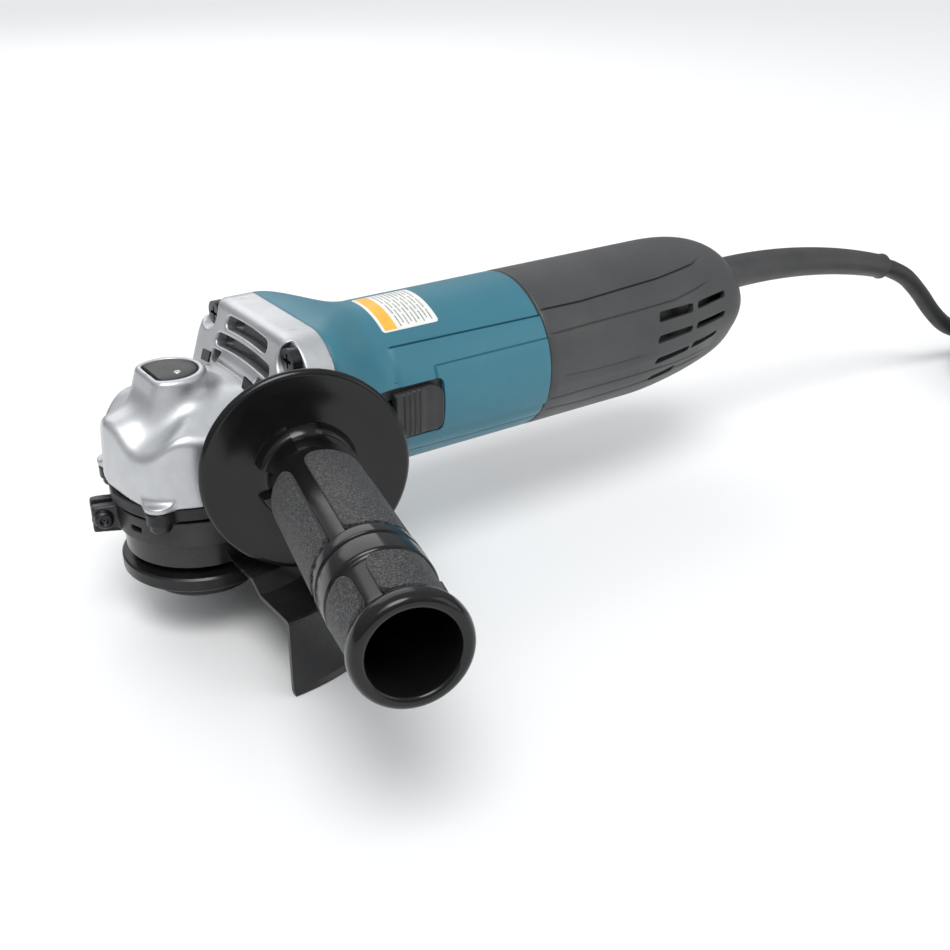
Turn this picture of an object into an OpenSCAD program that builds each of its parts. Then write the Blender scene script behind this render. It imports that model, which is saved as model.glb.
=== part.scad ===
// Angle grinder for 115 mm wheels, slide switch, side handle, guard and mains cord.
// Origin: centre of the wheel seat on the spindle axis. +X runs back along the motor,
// +Z runs up along the spindle, and the side handle points to -Y.

/* [Body] */
// Height of the motor axis above the wheel seat
axis_h = 46; // [45:0.5:48]
// Radius of the grip barrel
barrel_r = 28.5; // [28:0.1:29.5]
// Where the motor housing meets the gear housing
seam_front = 36; // [36:0.5:37]
// Where the rear cover meets the motor housing
seam_rear = 123; // [122:0.5:125]
// Rear end of the rear cover
body_end = 230; // [226:1:234]
// Wall of the plastic shells
shell = 2.5; // [2:0.1:2.8]

/* [Head] */
// Front of the gear housing
head_front = 28.2; // [28:0.1:30]
// Half width of the gear housing
head_half = 27.8; // [27.5:0.1:29]
// Width of the neck flange
neck_w = 68; // [66:0.5:70]
// Height of the neck flange
neck_h = 65; // [63:0.5:66]
// Top of the shaft lock boss above the motor axis
boss_top = 20.4; // [20:0.1:21]

/* [Spindle and guard] */
// Radius of the spindle thread
spindle_r = 7.94; // [7.9:0.01:8]
// Radius of the inner flange
flange_r = 25.4; // [24:0.1:26]
// Outer radius of the guard
guard_r = 62.7; // [61:0.1:64]
// Depth of the guard's skirt
skirt_h = 24.5; // [20:0.5:26]
// Thickness of the guard's sheet
guard_t = 1.5; // [1.2:0.1:1.6]

/* [Gears] */
// Teeth on the pinion
pinion_teeth = 10; // [9:1:11]
// Teeth on the bevel gear
gear_teeth = 38; // [36:1:38]
// Pitch radius of the bevel gear at its rim
gear_r = 20; // [19.5:0.1:20]

/* [Side handle] */
// Angle of the handle towards the front
handle_forward = 15.3; // [10:0.1:16]
// Angle of the handle upwards
handle_lift = 3; // [0:0.5:4]
// Radius of the hand guard disc
disc_r = 32.7; // [31:0.1:33]
// Radius of the grip
grip_r = 15; // [14.5:0.1:15.5]
// End of the handle along its own axis
handle_end = 154.5; // [150:0.5:158]

/* [Travel] */
// Travel of the slide switch
switch_travel = 6; // [4:0.5:6]
// Free travel of the shaft lock
lock_travel = 3; // [2:0.5:3]

/* [Cord] */
// Diameter of the cord
cord_d = 8; // [7:0.5:8.5]
// Width of the stored coil
coil_w = 116; // [114:1:130]
// Height of the stored coil
coil_h = 26; // [24:1:34]

/* [Hidden] */
$fn = 64;
eps = 0.01;
run = 0.05;

barrel_in = barrel_r - shell;
floor_z = 4.2 - skirt_h;
cord_r = cord_d / 2;
pinion_r = gear_r * pinion_teeth / gear_teeth;
screw_y = 26;
screw_z = 25.5;
box_screw = 19.6;
pin_x = -8.9;
pin_r = 2;
bush_r = 6.2;
collar_r = 22;
button_x = -4.3;
commutator_x = 118;
brush_x = 125;
rear_bearing_x = 139;
exit_z = 8;

// cord route after the cord guard, in the part's own frame
cord_points = [[343, 0, 37.5], [355, 0, 31.5], [367, 0, 22], [379, 0, 11], [391, 0, 2],
               [404, 0, -4], [418, -1, -7], [432, -2.5, -8]];
coil_at = [432, -57, floor_z + 1.2];
plug_at = [478, -92, floor_z + 13];

// ---------- helpers ----------

module along_motor() {
    translate([0, 0, axis_h])
        children();
}

module x_rod(x0, x1, r) {
    translate([x0, 0, 0])
        rotate([0, 90, 0])
            cylinder(h = x1 - x0, r = r);
}

module x_ring(x0, x1, outer, inner) {
    difference() {
        x_rod(x0, x1, outer);
        x_rod(x0 - 1, x1 + 1, inner);
    }
}

module z_ring(z0, z1, outer, inner) {
    translate([0, 0, z0])
        difference() {
            cylinder(h = z1 - z0, r = outer);
            translate([0, 0, -1])
                cylinder(h = z1 - z0 + 2, r = inner);
        }
}

module round_rect(w, h, r) {
    square([w - 2 * r, h], center = true);
    square([w, h - 2 * r], center = true);
    for (sx = [-1, 1], sy = [-1, 1])
        translate([sx * (w / 2 - r), sy * (h / 2 - r)])
            circle(r);
}

module x_slab(x0, x1, w, h, r) {
    translate([x0, 0, 0])
        rotate([90, 0, 90])
            linear_extrude(x1 - x0)
                round_rect(w, h, r);
}

module block(x0, x1, y0, y1, z0, z1) {
    translate([x0, y0, z0])
        cube([x1 - x0, y1 - y0, z1 - z0]);
}

module both_sides() {
    children();
    mirror([0, 1, 0])
        children();
}

module above_and_below() {
    children();
    mirror([0, 0, 1])
        children();
}

module four_corners(y, z) {
    for (sy = [-1, 1], sz = [-1, 1])
        translate([0, sy * y, sz * z])
            children();
}

// a closed solid of revolution about the motor axis, from points [x, radius]
module x_turned(points) {
    rotate([0, 90, 0])
        rotate_extrude()
            polygon([for (p = points) [p[1], p[0]]]);
}

module ball_bearing(width, outer, inner) {
    ring = (outer - inner) * 0.28;
    z_ring(0, width, outer, outer - ring);
    z_ring(0, width, inner + ring, inner);
    z_ring(width * 0.2, width * 0.32, outer - ring, inner + ring);
    z_ring(width * 0.68, width * 0.8, outer - ring, inner + ring);
}

// ---------- gear housing ----------

module head_outline(inset) {
    front = -head_front + inset;
    half = head_half - inset;
    polygon([[front, -4.8], [front, 4.8], [-20 + inset * 0.7, 20.5 - inset * 0.7], [-7.4, half], [25, half],
             [25, -half], [-7.4, -half], [-20 + inset * 0.7, -20.5 + inset * 0.7]]);
}

module head_body() {
    hull() {
        translate([0, 0, -15])
            linear_extrude(16)
                head_outline(0);
        translate([0, 0, 6])
            linear_extrude(eps)
                head_outline(1.6);
        translate([0, 0, 14.6])
            linear_extrude(eps)
                head_outline(11);
    }
}

module boss_body() {
    hull() {
        translate([button_x, 0, boss_top - 2])
            cylinder(h = 2, r = 11.6);
        translate([button_x, 0, 10])
            cylinder(h = 1, r = 14);
    }
}

module neck_profile() {
    polygon([[seam_front, -neck_h / 2 + 1], [25, -28], [19, -15], [14, -12], [14, 13], [18.6, 16.5],
             [19.6, 18], [23.8, 30.5], [26, 32.5], [seam_front, 33]]);
}

module neck_body() {
    intersection() {
        x_slab(10, seam_front, neck_w, neck_h, 14);
        rotate([90, 0, 0])
            linear_extrude(80, center = true)
                neck_profile();
    }
}

module handle_line() {
    translate([31.2, 0, -6.5])
        rotate([0, 0, -handle_forward])
            rotate([90 - handle_lift, 0, 0])
                children();
}

module handle_boss() {
    handle_line()
        translate([0, 0, 20])
            cylinder(h = 16.5, r = 9.5);
}

module neck_slot(x, z, half, height) {
    translate([x, 0, z])
        rotate([0, 18, 0])
            translate([2, 0, 0])
                x_slab(-6, 9, 2 * half, height, height / 2 - 0.1);
}

module gear_housing() {
    color([0.78, 0.79, 0.8])
        along_motor()
            difference() {
                union() {
                    head_body();
                    boss_body();
                    neck_body();
                    both_sides()
                        handle_boss();
                    for (sx = [-1, 1], sy = [-1, 1])
                        translate([sx * box_screw, sy * box_screw, -15])
                            cylinder(h = 20, r = 6.4);
                }
                // gear chamber, open at the bottom
                translate([0, 0, -16])
                    cylinder(h = 22, r = 22);
                translate([0, 0, -20])
                    cylinder(h = 5, r = 24.2);
                translate([0, 0, 5])
                    cylinder(h = 8, r = bush_r);
                // room under the neck for the bearing box and the guard's collar
                translate([0, 0, -40])
                    cylinder(h = 25, r = 27.8);
                block(-30, 26.7, -26.7, 26.7, -19.8, -15);
                for (sy = [-1, 1])
                    translate([box_screw, sy * box_screw, -40])
                        cylinder(h = 25, r = 4.4);
                // flat seats of the side handle's disc
                both_sides()
                    handle_line()
                        translate([0, 0, 36.5])
                            cylinder(h = 8, r = 13);
                // scallop between the front ear and the handle boss
                both_sides()
                    translate([-3.5, -31.5, -17])
                        rotate([90, 0, 0])
                            cylinder(h = 8, r = 14, center = true);
                // shaft lock pocket and pin hole
                intersection() {
                    translate([button_x, 0, boss_top - 3.2 - lock_travel])
                        cylinder(h = 12, r = 9.9);
                    block(-12.6, 10, -12, 12, 14, 30);
                }
                translate([pin_x, 0, 0])
                    cylinder(h = 20, r = pin_r + run);
                // motor shaft passage, front bearing seat and air space
                x_rod(10, 26, 9.2);
                x_rod(25, 33.2, 14);
                x_rod(33, seam_front + 1, 9.2);
                x_ring(29.5, seam_front + 1, 27.2, 17.2);
                neck_slot(22.4, 26.6, 14.3, 4.4);
                neck_slot(20.4, 20.4, 19, 4.4);
                both_sides()
                    translate([17.5, -14.5, 16.4])
                        cube([6, 4.5, 3], center = true);
                // screw holes and the recesses around the heads
                four_corners(screw_y, screw_z)
                    x_rod(15, seam_front + 1, 2.1);
                four_corners(screw_y + 1.5, screw_z + 0.5)
                    x_rod(10, 26.5, 5.8);
                for (sx = [-1, 1], sy = [-1, 1])
                    translate([sx * box_screw, sy * box_screw, -18])
                        cylinder(h = 16, r = 1.9);
                // handle threads
                both_sides()
                    handle_line()
                        translate([0, 0, 24])
                            cylinder(h = 14, r = 4);
            }
}

module cross_screw(length, head_r, head_h, shank_r) {
    difference() {
        union() {
            cylinder(h = length, r = shank_r);
            translate([0, 0, -head_h])
                cylinder(h = head_h, r = head_r);
        }
        for (a = [0, 90])
            rotate([0, 0, a])
                translate([0, 0, -head_h])
                    cube([head_r * 1.2, head_r * 0.26, head_h * 1.1], center = true);
    }
}

module gear_housing_screws() {
    color([0.16, 0.16, 0.17])
        along_motor()
            four_corners(screw_y, screw_z)
                translate([26.5, 0, 0])
                    rotate([0, 90, 0])
                        cross_screw(14, 4, 3.2, 2.05);
}

// ---------- bearing box and spindle ----------

module bearing_box() {
    color([0.7, 0.71, 0.72])
        along_motor()
            difference() {
                union() {
                    translate([0, 0, -19.6])
                        linear_extrude(4.6)
                            round_rect(53, 53, 7);
                    translate([0, 0, -19.6])
                        cylinder(h = 4.6, r = 27.6);
                    z_ring(-34, -15, collar_r - run, 8);
                    z_ring(-15, -13.7, collar_r - run, 18);
                }
                translate([0, 0, -31])
                    cylinder(h = 20, r = 16.05);
                translate([0, 0, -21.05])
                    cylinder(h = 10, r = 18);
                translate([0, 0, -40])
                    cylinder(h = 20, r = 12.2);
                for (sx = [-1, 1], sy = [-1, 1])
                    translate([sx * box_screw, sy * box_screw, -25])
                        cylinder(h = 12, r = 2.2);
            }
}

module bearing_box_screws() {
    color([0.14, 0.14, 0.15])
        along_motor()
            for (sx = [-1, 1], sy = [-1, 1])
                translate([sx * box_screw, sy * box_screw, -19.6])
                    cross_screw(15, 3.6, 2.8, 1.85);
}

module upper_bearing() {
    color([0.6, 0.6, 0.62])
        along_motor()
            difference() {
                translate([0, 0, 5.2])
                    cylinder(h = 7.8, r = bush_r);
                translate([0, 0, 5])
                    cylinder(h = 7, r = 4 + run);
            }
}

module lower_bearing() {
    color([0.62, 0.62, 0.64])
        along_motor()
            translate([0, 0, -31])
                ball_bearing(10, 16, 6 + run);
}

module bearing_retainer() {
    color([0.45, 0.45, 0.47])
        along_motor()
            z_ring(-20.95, -18.6, 17.9, 9.2);
}

module dust_seal() {
    color([0.08, 0.08, 0.08])
        along_motor()
            z_ring(-33.8, -31.1, 12.2, 9.6);
}

module spindle() {
    color([0.55, 0.56, 0.58])
        along_motor()
            rotate_extrude()
                polygon([[0, -56], [spindle_r - 1, -56], [spindle_r, -55], [spindle_r, -36], [9.2, -36],
                         [9.2, -31.6], [6, -31.6], [6, -5.6], [4, -5.2], [4, 10.6], [3.4, 11.2],
                         [0, 11.2]]);
}

// a tooth whose edges all run to the gears' common apex; rim is [radius, height] on the pitch cone,
// and side is 1 where the tooth rises along the axis and -1 where it rises away from it
module bevel_tooth(rim, side, root, tip, root_w, tip_w, toe) {
    rise = side * [-rim[1], rim[0]] / norm(rim);
    base = [for (s = [toe, 1], c = [[-root_w, root], [root_w, root], [tip_w, tip], [-tip_w, tip]])
        let (p = rim + rise * c[1]) [p[0] * s, c[0] * s * side, p[1] * s]];
    polyhedron(points = base, faces = [[0, 1, 2, 3], [7, 6, 5, 4], [0, 4, 5, 1], [1, 5, 6, 2],
                                       [2, 6, 7, 3], [3, 7, 4, 0]]);
}

module bevel_gear() {
    color([0.42, 0.42, 0.44])
        along_motor() {
            difference() {
                rotate_extrude()
                    polygon([[6, -15.6], [9, -15.6], [9, -13.6], [19.4, -12.6], [20.6, -6.8],
                             [14.2, -5.2], [13, -6.2], [9.4, -6.2], [9.4, -5.8], [6, -5.8]]);
                // holes for the shaft lock pin
                for (a = [0 : 90 : 270])
                    rotate([0, 0, a])
                        translate([pin_x, 0, -12])
                            cylinder(h = 8, r = pin_r + 0.4);
            }
            for (i = [0 : gear_teeth - 1])
                rotate([0, 0, (i + 0.5) * 360 / gear_teeth])
                    bevel_tooth([gear_r, -pinion_r], 1, -1.5, 0.62, 0.72, 0.3, 0.72);
        }
}

module gear_clip() {
    color([0.3, 0.3, 0.32])
        along_motor()
            z_ring(-17, -15.7, 8.6, 6);
}

module inner_flange() {
    color([0.1, 0.1, 0.11])
        along_motor()
            rotate_extrude()
                polygon([[spindle_r, -47.6], [11.1, -47.6], [11.1, -46], [16.5, -46], [16.5, -45.2],
                         [18.5, -45.2], [18.5, -46], [flange_r - 0.5, -46], [flange_r, -45.5],
                         [flange_r, -41.9], [flange_r - 0.6, -41.3], [20.6, -40.4], [17, -38.6],
                         [12.6, -37.4], [12.6, -36], [spindle_r, -36]]);
}

module lock_nut() {
    color([0.12, 0.12, 0.13])
        along_motor()
            difference() {
                rotate_extrude()
                    polygon([[spindle_r, -52], [17.6, -52], [18.4, -51.2], [18.4, -46.8], [17.6, -46],
                             [11.3, -46], [11.3, -47.7], [spindle_r, -47.7]]);
                for (a = [0 : 90 : 270])
                    rotate([0, 0, a + 45])
                        translate([14.8, 0, -53])
                            cylinder(h = 4, r = 1.7);
            }
}

// ---------- guard ----------

module guard_shell() {
    rotate_extrude(angle = 180)
        polygon([[22, -38], [22, -36.5], [39, -36.5], [44, -40], [guard_r - 1.4, -40],
                 [guard_r - 0.4, -40.4], [guard_r, -41.4], [guard_r, -41.8 - skirt_h + 1.6],
                 [guard_r + 1.2, -41.8 - skirt_h + 0.4], [guard_r + 1.2, -41.8 - skirt_h],
                 [guard_r - 0.4, -41.8 - skirt_h], [guard_r - guard_t, -41.8 - skirt_h + 1.3],
                 [guard_r - guard_t, -41.5], [43.4, -41.5], [38.4, -38]]);
}

module wheel_guard() {
    color([0.07, 0.07, 0.075])
        along_motor() {
            rotate([0, 0, -90])
                guard_shell();
            z_ring(-38, -25, 23.5, collar_r);
        }
}

module guard_band() {
    color([0.2, 0.2, 0.21])
        along_motor()
            difference() {
                union() {
                    translate([0, 0, -33.4])
                        cylinder(h = 8.2, r = 25.4);
                    rotate([0, 0, 165])
                        block(20, 35, -5.2, 5.2, -33, -25.6);
                    rotate([0, 0, 178])
                        block(20, 34, -3.5, 4, -34.8, -33.25);
                }
                translate([0, 0, -36])
                    cylinder(h = 14, r = 23.5);
                rotate([0, 0, 165])
                    block(20, 37, -1.6, 1.6, -36, -24);
                rotate([0, 0, 165])
                    translate([31, 0, -29.3])
                        rotate([90, 0, 0])
                            cylinder(h = 20, r = 2.1, center = true);
                rotate([0, 0, 200])
                    block(20, 27, -2.4, 2.4, -31.2, -29);
            }
}

module guard_screw() {
    color([0.1, 0.1, 0.1])
        along_motor()
            rotate([0, 0, 165])
                translate([31, 5.2, -29.3])
                    rotate([90, 0, 0]) {
                        cross_screw(13, 3.9, 3, 2.05);
                        translate([0, 0, 10.5])
                            cylinder(h = 3, r = 3.9, $fn = 6);
                    }
}

// ---------- shaft lock ----------

module lock_button() {
    color([0.06, 0.06, 0.06])
        along_motor()
            difference() {
                intersection() {
                    translate([button_x, 0, boss_top - 3.1])
                        rotate_extrude()
                            polygon([[0, 0], [9.4, 0], [9.4, 2.6], [8.8, 3.3], [0, 3.8]]);
                    block(-12.2, 10, -12, 12, 14, 30);
                }
                translate([pin_x, 0, 10])
                    cylinder(h = 9.4, r = pin_r);
                translate([-2.6, -4.6, boss_top])
                    cylinder(h = 3, r = 0.9);
            }
}

module lock_pin() {
    color([0.6, 0.6, 0.62])
        along_motor()
            translate([pin_x, 0, -5.4 + lock_travel])
                cylinder(h = 24.8 - lock_travel, r = pin_r);
}

module lock_spring() {
    color([0.65, 0.65, 0.67])
        along_motor()
            for (i = [0 : 2])
                translate([pin_x, 0, boss_top - 5.7 + i])
                    rotate_extrude()
                        translate([2.85, 0])
                            circle(0.34, $fn = 16);
}

// ---------- armature ----------

module motor_shaft() {
    color([0.6, 0.6, 0.62])
        along_motor()
            x_turned([[9, 0], [9, 1.9], [13.2, 1.9], [13.2, 2.6], [23.8, 2.6], [23.8, 5], [34, 5],
                      [34, 5.6], [134, 5.6], [134, 3.5], [146.5, 3.5], [146.5, 0]]);
}

module armature_core() {
    color([0.5, 0.5, 0.52])
        along_motor()
            difference() {
                x_ring(63, 99, 15.4, 5.6);
                for (a = [0 : 30 : 330])
                    rotate([a, 0, 0])
                        block(62, 100, -0.9, 0.9, 11.5, 16);
            }
}

module armature_windings() {
    color([0.62, 0.3, 0.12])
        along_motor() {
            x_turned([[54.5, 5.6], [54.5, 10], [57, 13.6], [62.9, 14.4], [62.9, 5.6]]);
            x_turned([[99.1, 5.6], [99.1, 14.4], [106, 13.4], [112, 9.4], [117, 8], [117, 5.6]]);
        }
}

module commutator() {
    color([0.72, 0.42, 0.22])
        along_motor()
            difference() {
                x_ring(commutator_x, commutator_x + 14, 10, 5.6);
                for (a = [0 : 15 : 345])
                    rotate([a, 0, 0])
                        block(commutator_x + 1.5, commutator_x + 15, -0.25, 0.25, 9.3, 11);
            }
}

module fan() {
    color([0.12, 0.12, 0.13])
        along_motor() {
            x_ring(40.5, 50.5, 8, 5.6);
            x_ring(48.4, 50.5, 25, 8);
            for (i = [0 : 10])
                rotate([i * 360 / 11, 0, 0])
                    translate([44.6, 0, 16.2])
                        rotate([0, 0, 24])
                            cube([8.4, 1.4, 17], center = true);
        }
}

module pinion() {
    color([0.4, 0.4, 0.42])
        along_motor() {
            x_turned([[14.2, 2.6], [14.2, 3], [20.4, 4.1], [23.8, 6.4], [23.8, 2.6]]);
            rotate([0, 90, 0])
                for (i = [0 : pinion_teeth - 1])
                    rotate([0, 0, i * 360 / pinion_teeth])
                        bevel_tooth([pinion_r, gear_r], -1, -1.3, 0.62, 0.72, 0.3, 0.72);
        }
}

module pinion_nut() {
    color([0.35, 0.35, 0.37])
        along_motor()
            difference() {
                translate([9.6, 0, 0])
                    rotate([0, 90, 0])
                        cylinder(h = 3.5, r = 3.9, $fn = 6);
                x_rod(9, 14, 1.9);
            }
}

module front_bearing() {
    color([0.62, 0.62, 0.64])
        along_motor()
            translate([25, 0, 0])
                rotate([0, 90, 0])
                    ball_bearing(8.1, 14, 5 + run);
}

module rear_bearing() {
    color([0.62, 0.62, 0.64])
        along_motor()
            translate([rear_bearing_x, 0, 0])
                rotate([0, 90, 0])
                    ball_bearing(7, 11, 3.5 + run);
}

module bearing_sleeve() {
    color([0.1, 0.1, 0.1])
        along_motor() {
            x_ring(rear_bearing_x - 0.2, rear_bearing_x + 8.6, 12.4, 11);
            x_ring(rear_bearing_x + 7.1, rear_bearing_x + 8.6, 11, 4.5);
        }
}

// ---------- stator and housings ----------

module stator_core() {
    color([0.46, 0.47, 0.5])
        along_motor()
            difference() {
                intersection() {
                    x_rod(62, 100, 25.6);
                    block(60, 102, -23, 23, -30, 30);
                }
                x_rod(61, 101, 16);
                both_sides()
                    block(61, 101, 12, 19.4, -12, 12);
            }
}

module field_coils() {
    color([0.6, 0.26, 0.1])
        along_motor()
            both_sides() {
                block(61.8, 100.2, 16.4, 19.3, -11.6, 11.6);
                for (x = [55.6, 100.1])
                    difference() {
                        x_rod(x, x + 6.3, 22.2);
                        x_rod(x - 1, x + 8, 17);
                        block(x - 1, x + 8, -30, 12, -30, 30);
                    }
            }
}

module stator_screws() {
    color([0.5, 0.5, 0.52])
        along_motor()
            for (s = [-1, 1])
                translate([58, 0, s * 20.8])
                    rotate([0, 90, 0])
                        cross_screw(3.9, 3, 2.2, 1.9);
}

module air_baffle() {
    color([0.15, 0.15, 0.16])
        along_motor()
            x_turned([[50.9, 18.2], [50.9, 27.4], [52, 27.4], [52, 19.4], [53.6, 18.2]]);
}

module housing_outer() {
    hull() {
        x_slab(seam_front, 44, neck_w, neck_h, 14);
        x_rod(62, 62.1, barrel_r - 0.4);
    }
    x_rod(58, seam_rear, barrel_r);
    // raised side panels
    both_sides()
        intersection() {
            x_rod(74, seam_rear, barrel_r + 0.7);
            block(75, seam_rear + 1, -40, 0, -11.2, 12.1);
        }
    // ridge above the panel
    both_sides()
        intersection() {
            x_rod(62.5, seam_rear, barrel_r + 0.35);
            block(60, seam_rear + 1, -40, 0, 11.6, 19.6);
        }
}

module rear_carrier() {
    // the inner barrel under the rear cover carries the brushes and the rear bearing
    x_ring(seam_rear - 1, 137, 24.6, 22);
    difference() {
        x_ring(136, rear_bearing_x + 8.7, 24.6, 12.4);
        for (a = [30, 150, 210, 330])
            rotate([a, 0, 0])
                translate([130, 0, 18.4])
                    rotate([0, 90, 0])
                        cylinder(h = 25, r = 3);
    }
}

module motor_housing() {
    color([0.2, 0.45, 0.53])
        along_motor()
            difference() {
                union() {
                    difference() {
                        housing_outer();
                        x_rod(seam_front - 1, 52, 27.4);
                        x_rod(50, seam_rear + 1, barrel_in);
                    }
                    rear_carrier();
                    x_ring(seam_rear - 4, seam_rear - 1, barrel_in + 0.1, 22);
                    for (s = [-1, 1])
                        difference() {
                            intersection() {
                                x_rod(58, 99.9, barrel_in + 0.1);
                                block(58, 99.9, -4.2, 4.2, s * 25.5 - 3.9, s * 25.5 + 3.9);
                            }
                            x_rod(57, 101, 25.62);
                        }
                }
                four_corners(screw_y, screw_z)
                    x_rod(seam_front - 1, 41.2, 2.06);
                // recess and slot of the slide switch
                block(58.4 - switch_travel, 79.6, -45, -27.1, -9.6, 12.4);
                block(61.5 - switch_travel, 75, -29, -24, -2.6, 4.6);
                // passage of the switch lever
                block(100, 160, -26.6, -20.5, -5.2, 7.2);
                // brush holder windows and the thread of the cover's screw
                above_and_below()
                    block(brush_x - 5, brush_x + 5, -4.4, 4.4, 9, 27);
                translate([135, 0, -30])
                    cylinder(h = 12, r = 1.85);
            }
}

module name_plate() {
    color([0.9, 0.86, 0.7])
        along_motor()
            rotate([10, 0, 0])
                intersection() {
                    x_ring(62.5, 84.5, barrel_r + 0.4, barrel_r);
                    block(60, 98, -12.4, 12.4, 20, 40);
                }
}

module brush_holders() {
    color([0.75, 0.6, 0.3])
        along_motor()
            above_and_below()
                difference() {
                    block(brush_x - 5, brush_x + 5, -4.4, 4.4, 11.4, 25.2);
                    block(brush_x - 3.3, brush_x + 3.3, -2.8, 2.8, 10, 24.4);
                }
}

module carbon_brushes() {
    color([0.12, 0.12, 0.13])
        along_motor()
            above_and_below()
                difference() {
                    block(brush_x - 3.2, brush_x + 3.2, -2.7, 2.7, 9, 20);
                    x_rod(brush_x - 9, brush_x + 9, 10.06);
                }
}

module brush_springs() {
    color([0.65, 0.65, 0.67])
        along_motor()
            above_and_below()
                for (i = [0 : 3])
                    translate([brush_x, 0, 20.6 + i * 1.1])
                        rotate_extrude()
                            translate([2, 0])
                                circle(0.35, $fn = 16);
}

// outline of the rear cover: straight, then a long rounded tail
function tail_r(t) = 10 + (barrel_r - 10 + 0.1) * pow(1 - pow(t, 2.5), 1 / 2);

module rear_cover_skin(inset) {
    tail = 190;
    end = body_end - inset;
    x_turned(concat([[seam_rear + (inset > 0 ? -1 : 0.05), 0],
                     [seam_rear + (inset > 0 ? -1 : 0.05), barrel_r + 0.1 - inset]],
                    [for (i = [0 : 14]) let (t = i / 14) [tail + t * (end - tail), tail_r(t) - inset]],
                    [[end, 0]]));
}

// height and start of each row of air slots
vent_rows = [[8.2, 175], [0.8, 174.2], [-7.2, 173.6], [-15.4, 173]];

module vent_row(z, x) {
    for (slot = [[0, 16.4], [19.2, 15.4]])
        translate([x + slot[0], -34, z])
            cube([slot[1], 16, 3.2]);
}

module rear_cover() {
    color([0.2, 0.2, 0.21])
        along_motor()
            difference() {
                union() {
                    difference() {
                        rear_cover_skin(0);
                        rear_cover_skin(shell);
                    }
                    // boss that holds the cord guard
                    intersection() {
                        rear_cover_skin(0.2);
                        translate([0, 0, exit_z])
                            x_ring(216, body_end, 11, 6.5);
                    }
                    for (s = [-1, 1])
                        intersection() {
                            rear_cover_skin(0.2);
                            translate([0, s * 11, -7])
                                x_rod(213.5, 229, 3.4);
                        }
                }
                both_sides()
                    for (row = vent_rows)
                        vent_row(row[0], row[1]);
                translate([0, 0, exit_z])
                    x_rod(200, body_end + 5, 7.05);
                translate([0, 0, exit_z])
                    x_rod(222.5, 225.5, 9.2);
                translate([135, 0, -40])
                    cylinder(h = 20, r = 1.9);
                translate([135, 0, -31])
                    cylinder(h = 3.7, r = 3.8);
                // long style groove above the side panel
                both_sides()
                    rotate([46, 0, 0])
                        block(seam_rear + 2, 205, -1, 1, barrel_r - 0.35, barrel_r + 3);
                both_sides()
                    rotate([113, 0, 0])
                        block(seam_rear + 2, 200, -0.8, 0.8, barrel_r - 0.35, barrel_r + 3);
                for (s = [-1, 1])
                    translate([0, s * 11, -7])
                        x_rod(205, 219.2, 1.5);
            }
}

module rear_cover_screws() {
    color([0.14, 0.14, 0.15])
        along_motor()
            translate([135, 0, -27.3])
                cross_screw(5.1, 3.6, 1.6, 1.85);
}

// ---------- switch ----------

module knob_outline() {
    translate([60.5, -8.4])
        square([13, 18]);
    translate([72.5, 0.6])
        circle(6.6);
    for (z = [-3.2, 4.4])
        translate([72.5, z])
            circle(5.2);
}

module switch_knob() {
    color([0.05, 0.05, 0.05])
        along_motor()
            difference() {
                union() {
                    translate([0, -28.6, 1.4])
                        rotate([90, 0, 0])
                            linear_extrude(2.9, center = true)
                                knob_outline();
                    for (i = [0 : 3])
                        block(62 + i * 2.6, 63.3 + i * 2.6, -31.2, -30, -6, 10);
                    block(62, 70, -27.2, -25.3, -2, 4);
                }
            }
}

module switch_lever() {
    color([0.12, 0.12, 0.13])
        along_motor() {
            block(61, 168, -25.3, -23.9, -2, 4);
            block(166, 170, -25.3, -12, -2, 4);
        }
}

module switch_spring() {
    color([0.65, 0.65, 0.67])
        along_motor()
            for (i = [0 : 6])
                translate([148.06 + i * 2.93, -18.9, 1])
                    rotate([0, 90, 0])
                        rotate_extrude()
                            translate([2.2, 0])
                                circle(0.35, $fn = 16);
}

module switch_body() {
    color([0.1, 0.1, 0.11])
        along_motor()
            difference() {
                block(172, 204, -10, 10, -14, 12);
                for (x = [178, 192])
                    block(x, x + 5, -6, 6, 9, 14);
            }
}

module suppressor() {
    color([0.75, 0.68, 0.2])
        along_motor()
            block(152, 168, -6, 14, -20, -9);
}

// ---------- side handle ----------

module handle_core() {
    color([0.03, 0.03, 0.03])
        along_motor()
            handle_line()
                difference() {
                    union() {
                        rotate_extrude()
                            polygon([[0, 36.5], [12, 36.5], [13.2, 40.4], [disc_r - 2, 41],
                                     [disc_r - 0.4, 41.6], [disc_r, 42.6], [disc_r - 0.5, 43.6],
                                     [disc_r - 2, 44.1], [24, 43.4], [15, 43.6], [12.2, 45.4],
                                     [12, 49.8], [13.2, 56], [13.6, 60], [13.6, 113.8],
                                     [grip_r, 114.4], [grip_r, 118.5], [grip_r - 0.8, 118.8],
                                     [grip_r - 0.8, 119.4], [grip_r, 119.7], [grip_r, 127.6],
                                     [13.4, 128.2], [12.6, 146.9], [13.6, 147.8], [15.2, 149.4],
                                     [15.7, 151.6], [15.3, 153.6], [14, handle_end], [0, handle_end]]);
                        for (a = [0 : 90 : 270])
                            rotate([0, 0, a + 19.5])
                                rotate_extrude(angle = 53)
                                    polygon([[11, 42.8], [15.8, 42.8], [15.4, 48], [11.6, 48.4]]);
                    }
                    translate([0, 0, 112])
                        cylinder(h = 50, r = 11.4);
                    translate([0, 0, 30])
                        cylinder(h = 32, r = 3.98);
                }
}

module pad(z0, z1, r0, r1, turn) {
    rotate([0, 0, turn])
        rotate_extrude(angle = 70)
            polygon([[12.2, z0], [r0 - 0.5, z0], [r0, z0 + 1], [r1, z1 - 1], [r1 - 0.5, z1], [12.2, z1]]);
}

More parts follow.
